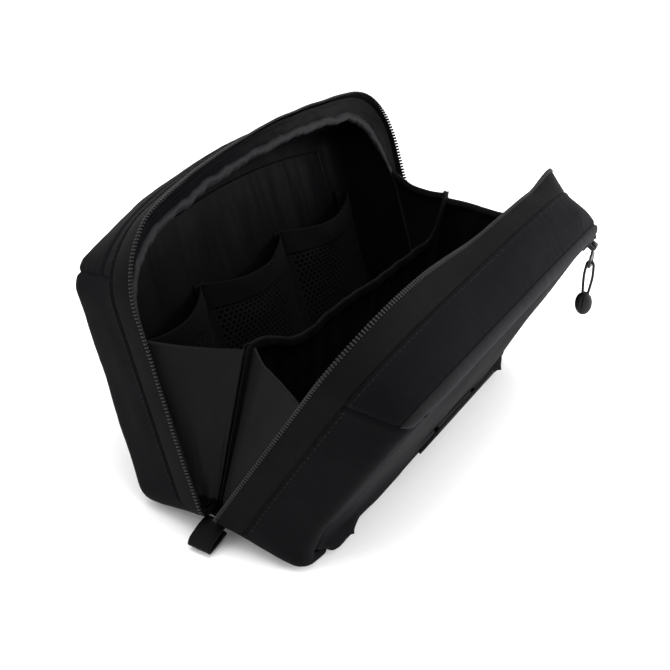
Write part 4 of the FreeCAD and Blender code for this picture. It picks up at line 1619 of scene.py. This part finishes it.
def bevelEdges(obj, width, sharp):
    bevel = obj.modifiers.new("edges", "BEVEL")
    bevel.width = width
    bevel.segments = 2
    bevel.limit_method = "ANGLE"
    bevel.angle_limit = radians(sharp)


def rounded(node, name, width, body):
    source = frame["nodes"][node]
    bm = bmesh.new()
    bm.from_mesh(source.data)
    bmesh.ops.remove_doubles(bm, verts=bm.verts[:], dist=1e-6)
    bmesh.ops.dissolve_limit(bm, angle_limit=radians(1.0), verts=bm.verts[:], edges=bm.edges[:])
    for layer in list(bm.loops.layers.uv.values()):
        bm.loops.layers.uv.remove(layer)
    obj = makeObject(name, bm, "slider_metal")
    bevelEdges(obj, width, 25)
    weighted = obj.modifiers.new("normals", "WEIGHTED_NORMAL")
    weighted.keep_sharp = True
    attach(obj, body, "slider_metal", node)
    return obj


rounded("main_slider", "mainSliderBody", 0.3 * mm, "main_slider")
rounded("main_pull_tab", "mainPull", 0.3 * mm, "main_pull")
rounded("pocket_slider", "pocketSliderBody", 0.3 * mm, "pocket_slider")
pocketTab = rounded("pocket_pull_tab", "pocketPull", 0.28 * mm, "pocket_pull")


# badge

badgeLow, badgeHigh = front.box("badge_plate")
badgeLook = {
    "thick": 1.8 * mm,
    "corner": 2.2 * mm,
    "rim": 1.6 * mm,
    "step": 0.35 * mm,
    "postRadius": 1.6 * mm,
    "postLength": 9 * mm,
}


def buildBadge():
    # blank plate with a raised border, on two short posts
    wide = badgeHigh.x - badgeLow.x
    tall = badgeHigh.z - badgeLow.z
    thick = badgeLook["thick"]
    bm = bmesh.new()
    bmesh.ops.create_cube(bm, size=1.0)
    bmesh.ops.scale(bm, vec=Vector((wide, thick, tall)), verts=bm.verts[:])
    upright = [e for e in bm.edges if abs((e.verts[0].co - e.verts[1].co).y) > thick * 0.9]
    bmesh.ops.bevel(bm, geom=upright, offset=badgeLook["corner"], offset_type="OFFSET", segments=6,
                    profile=0.5, affect="EDGES", material=-1)
    face = max(bm.faces, key=lambda f: f.calc_center_median().y)
    bmesh.ops.inset_region(bm, faces=[face], thickness=badgeLook["rim"], depth=0.0)
    bmesh.ops.inset_region(bm, faces=[face], thickness=0.3 * mm, depth=-badgeLook["step"])
    for sign in (-1, 1):
        made = bmesh.ops.create_cone(bm, cap_ends=True, segments=20, radius1=badgeLook["postRadius"],
                                     radius2=badgeLook["postRadius"], depth=badgeLook["postLength"])
        bmesh.ops.rotate(bm, verts=made["verts"], cent=Vector(), matrix=Matrix.Rotation(pi / 2, 3, "X"))
        bmesh.ops.translate(bm, verts=made["verts"], vec=Vector((sign * wide * 0.32, -5 * mm, 0)))
    middle = (badgeLow.z + badgeHigh.z) / 2
    depth = badgeHigh.y - thick / 2
    for vertex in bm.verts:
        vertex.co = front.point(vertex.co.x, depth + vertex.co.y, middle + vertex.co.z)
    bmesh.ops.recalc_face_normals(bm, faces=bm.faces[:])
    badge = makeObject("badgeBlank", bm, "badge_metal")
    bevelEdges(badge, 0.25 * mm, 35)
    attach(badge, "front_half", "badge_metal", "badge_plate")


buildBadge()


# pull cord and bead

pin = Vector(joints["pocket_pull_swing"]["pos_m"])
cordTop = pin - Vector((0, 0, 9.0 * mm))
cordRise = ((1.3, -20.5), (2.5, -10.8), (2.2, -4.4), (1.6, 0.0))
cordPoints = [cordTop + Vector((0, across * mm, up * mm)) for across, up in cordRise]
cordPoints += [cordTop + Vector((0, -across * mm, up * mm)) for across, up in reversed(cordRise)]


def buildCord():
    data = bpy.data.curves.new("pullCordLoop", "CURVE")
    data.dimensions = "3D"
    spline = data.splines.new("NURBS")
    spline.points.add(len(cordPoints) - 1)
    for slotPoint, spot in zip(spline.points, cordPoints):
        slotPoint.co = (*spot, 1)
    spline.order_u = 3
    spline.use_endpoint_u = True
    data.resolution_u = 16
    data.bevel_depth = 0.75 * mm
    data.bevel_resolution = 4
    data.use_fill_caps = True
    data.materials.append(paints["pull_cord"])
    cord = joinCollection(bpy.data.objects.new("pullCordLoop", data))
    attach(cord, "pocket_pull", "pull_cord", "pull_cord")
    return cord


beadLow, beadHigh = (Vector(corner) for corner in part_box("pull_bead"))


def buildBead():
    # oval grip with a shallow moulded waist and a collar where the cord goes in
    bm = bmesh.new()
    bmesh.ops.create_uvsphere(bm, u_segments=48, v_segments=32, radius=0.5)
    size = beadHigh - beadLow
    for vertex in bm.verts:
        spot = vertex.co
        waist = exp(-((spot.y - 0.04) / 0.055) ** 2) * smooth(abs(spot.x), 0.12, 0.4)
        collar = exp(-((spot.z - 0.40) / 0.03) ** 2)
        vertex.co.x *= 1 - 0.13 * waist
        vertex.co *= 1 - 0.05 * collar
    bmesh.ops.scale(bm, vec=size, verts=bm.verts[:])
    bmesh.ops.translate(bm, vec=(beadLow + beadHigh) / 2, verts=bm.verts[:])
    bead = makeObject("pullBead", bm, "pull_rubber")
    attach(bead, "pocket_pull", "pull_rubber", "pull_bead")
    return bead


cord = buildCord()
bead = buildBead()
print("pull made")


# stitching rows

stitchLook = {"pitch": 3.1 * mm, "size": (2.1 * mm, 0.5 * mm, 0.42 * mm), "inset": 2.6 * mm}


def stitchRow(spotAt, length, outwardAt):
    count = max(int(length / stitchLook["pitch"]), 2)
    rows = []
    for k in range(count):
        u = (k + 0.5) / count
        here = spotAt(u)
        ahead = spotAt(min(u + 0.3 / count, 1)) - spotAt(max(u - 0.3 / count, 0))
        rows.append(frameMatrix(here, ahead, outwardAt(u), stitchLook["size"]))
    return rows


def wallStitches(shell, part, mirrored, inset, seed, length, width):
    tray = shell.tray
    lift = paddedLift(length, width, seed)

    def spotAt(u):
        start = tapeStart(u)
        spot, normal = shell.sample(part, u, inset, start)
        v = inset / shell.total(part, u, start)
        spot = spot + normal * (lift(u, v, spot) + 0.05 * mm)
        return tray.point(-spot.x if mirrored else spot.x, spot.y, spot.z)

    def outwardAt(u):
        start = tapeStart(u)
        spot, normal = shell.sample(part, u, inset, start)
        x = -1 if mirrored else 1
        a = tray.point(spot.x * x, spot.y, spot.z)
        far = spot + normal * 10 * mm
        return tray.point(far.x * x, far.y, far.z) - a

    def trimmed(u):
        return spotAt(mix(0.2, 0.99, u) if part == "end" else mix(0.004, 0.996, u))

    share = 0.79 if part == "end" else 0.99
    return stitchRow(trimmed, length * share, lambda u: outwardAt(mix(0.2, 0.99, u) if part == "end" else u))


for shell in shells:
    label = shell.tray.name
    longEnd, longTop = shell.rim["end"].length, shell.rim["top"].length
    wide = shell.depth - pouch["tapeEdge"] + shellLook["edge"]
    inset = stitchLook["inset"]
    rows = wallStitches(shell, "top", False, inset, shellLook["topSeed"], longTop, wide)
    for mirrored, seed in enumerate(shellLook["endSeeds"]):
        rows += wallStitches(shell, "end", mirrored, inset, seed, longEnd, wide)
    row = scatter(label + "RimStitches", stitch, rows, "sewing_thread")
    attach(row, label + "_half", "shell_fabric")
print("stitches made")


# floor, light and surroundings

stageLook = {
    "floorTone": (0.92, 0.92, 0.92),
    "floorHalf": 6.0,
    "worldTone": (1.0, 1.0, 1.0),
    "worldStrength": 1.1,
}


def buildStage():
    bm = bmesh.new()
    bmesh.ops.create_grid(bm, x_segments=1, y_segments=1, size=stageLook["floorHalf"])
    mesh = meshOf("floor", bm)
    paint = Paint("floor_paper")
    grain = paint.cloud(paint.place(), 300.0, 3.0)
    tone = stageLook["floorTone"]
    mesh.materials.append(paint.finish({
        "Base Color": paint.blend(grain, rgba(tone), rgba(tuple(min(c * 1.03, 1) for c in tone))),
        "Roughness": 0.9 - 0.1 * grain,
        "Specular IOR Level": 0.1,
    }))
    floor = joinCollection(bpy.data.objects.new("floor", mesh))
    world = bpy.data.worlds.new("studio")
    world.use_nodes = True
    shade = world.node_tree.nodes["Background"]
    shade.inputs[0].default_value = rgba(stageLook["worldTone"])
    shade.inputs[1].default_value = stageLook["worldStrength"]
    bpy.context.scene.world = world


def areaLight(name, spot, target, size, power):
    data = bpy.data.lights.new(name, "AREA")
    data.shape = "RECTANGLE"
    data.size, data.size_y = size
    data.energy = power
    lamp = joinCollection(bpy.data.objects.new(name, data))
    lamp.location = spot
    lamp.rotation_euler = (Vector(target) - Vector(spot)).to_track_quat("-Z", "Y").to_euler()


lamps = {  # place, what it points at, size and power
    "overhead": ((-0.1, -0.1, 1.3), (0, 0, 0.05), (1.2, 1.0), 15),
    "frontFill": ((0.35, -1.1, 0.45), (0, 0, 0.06), (0.9, 0.6), 16),
    "leftStrip": ((-1.0, 0.4, 0.8), (0, 0, 0.08), (0.5, 0.8), 2.5),
}
buildStage()
for name, settings in lamps.items():
    areaLight(name, *settings)
bpy.context.scene.view_settings.view_transform = "Standard"
print("stage set")
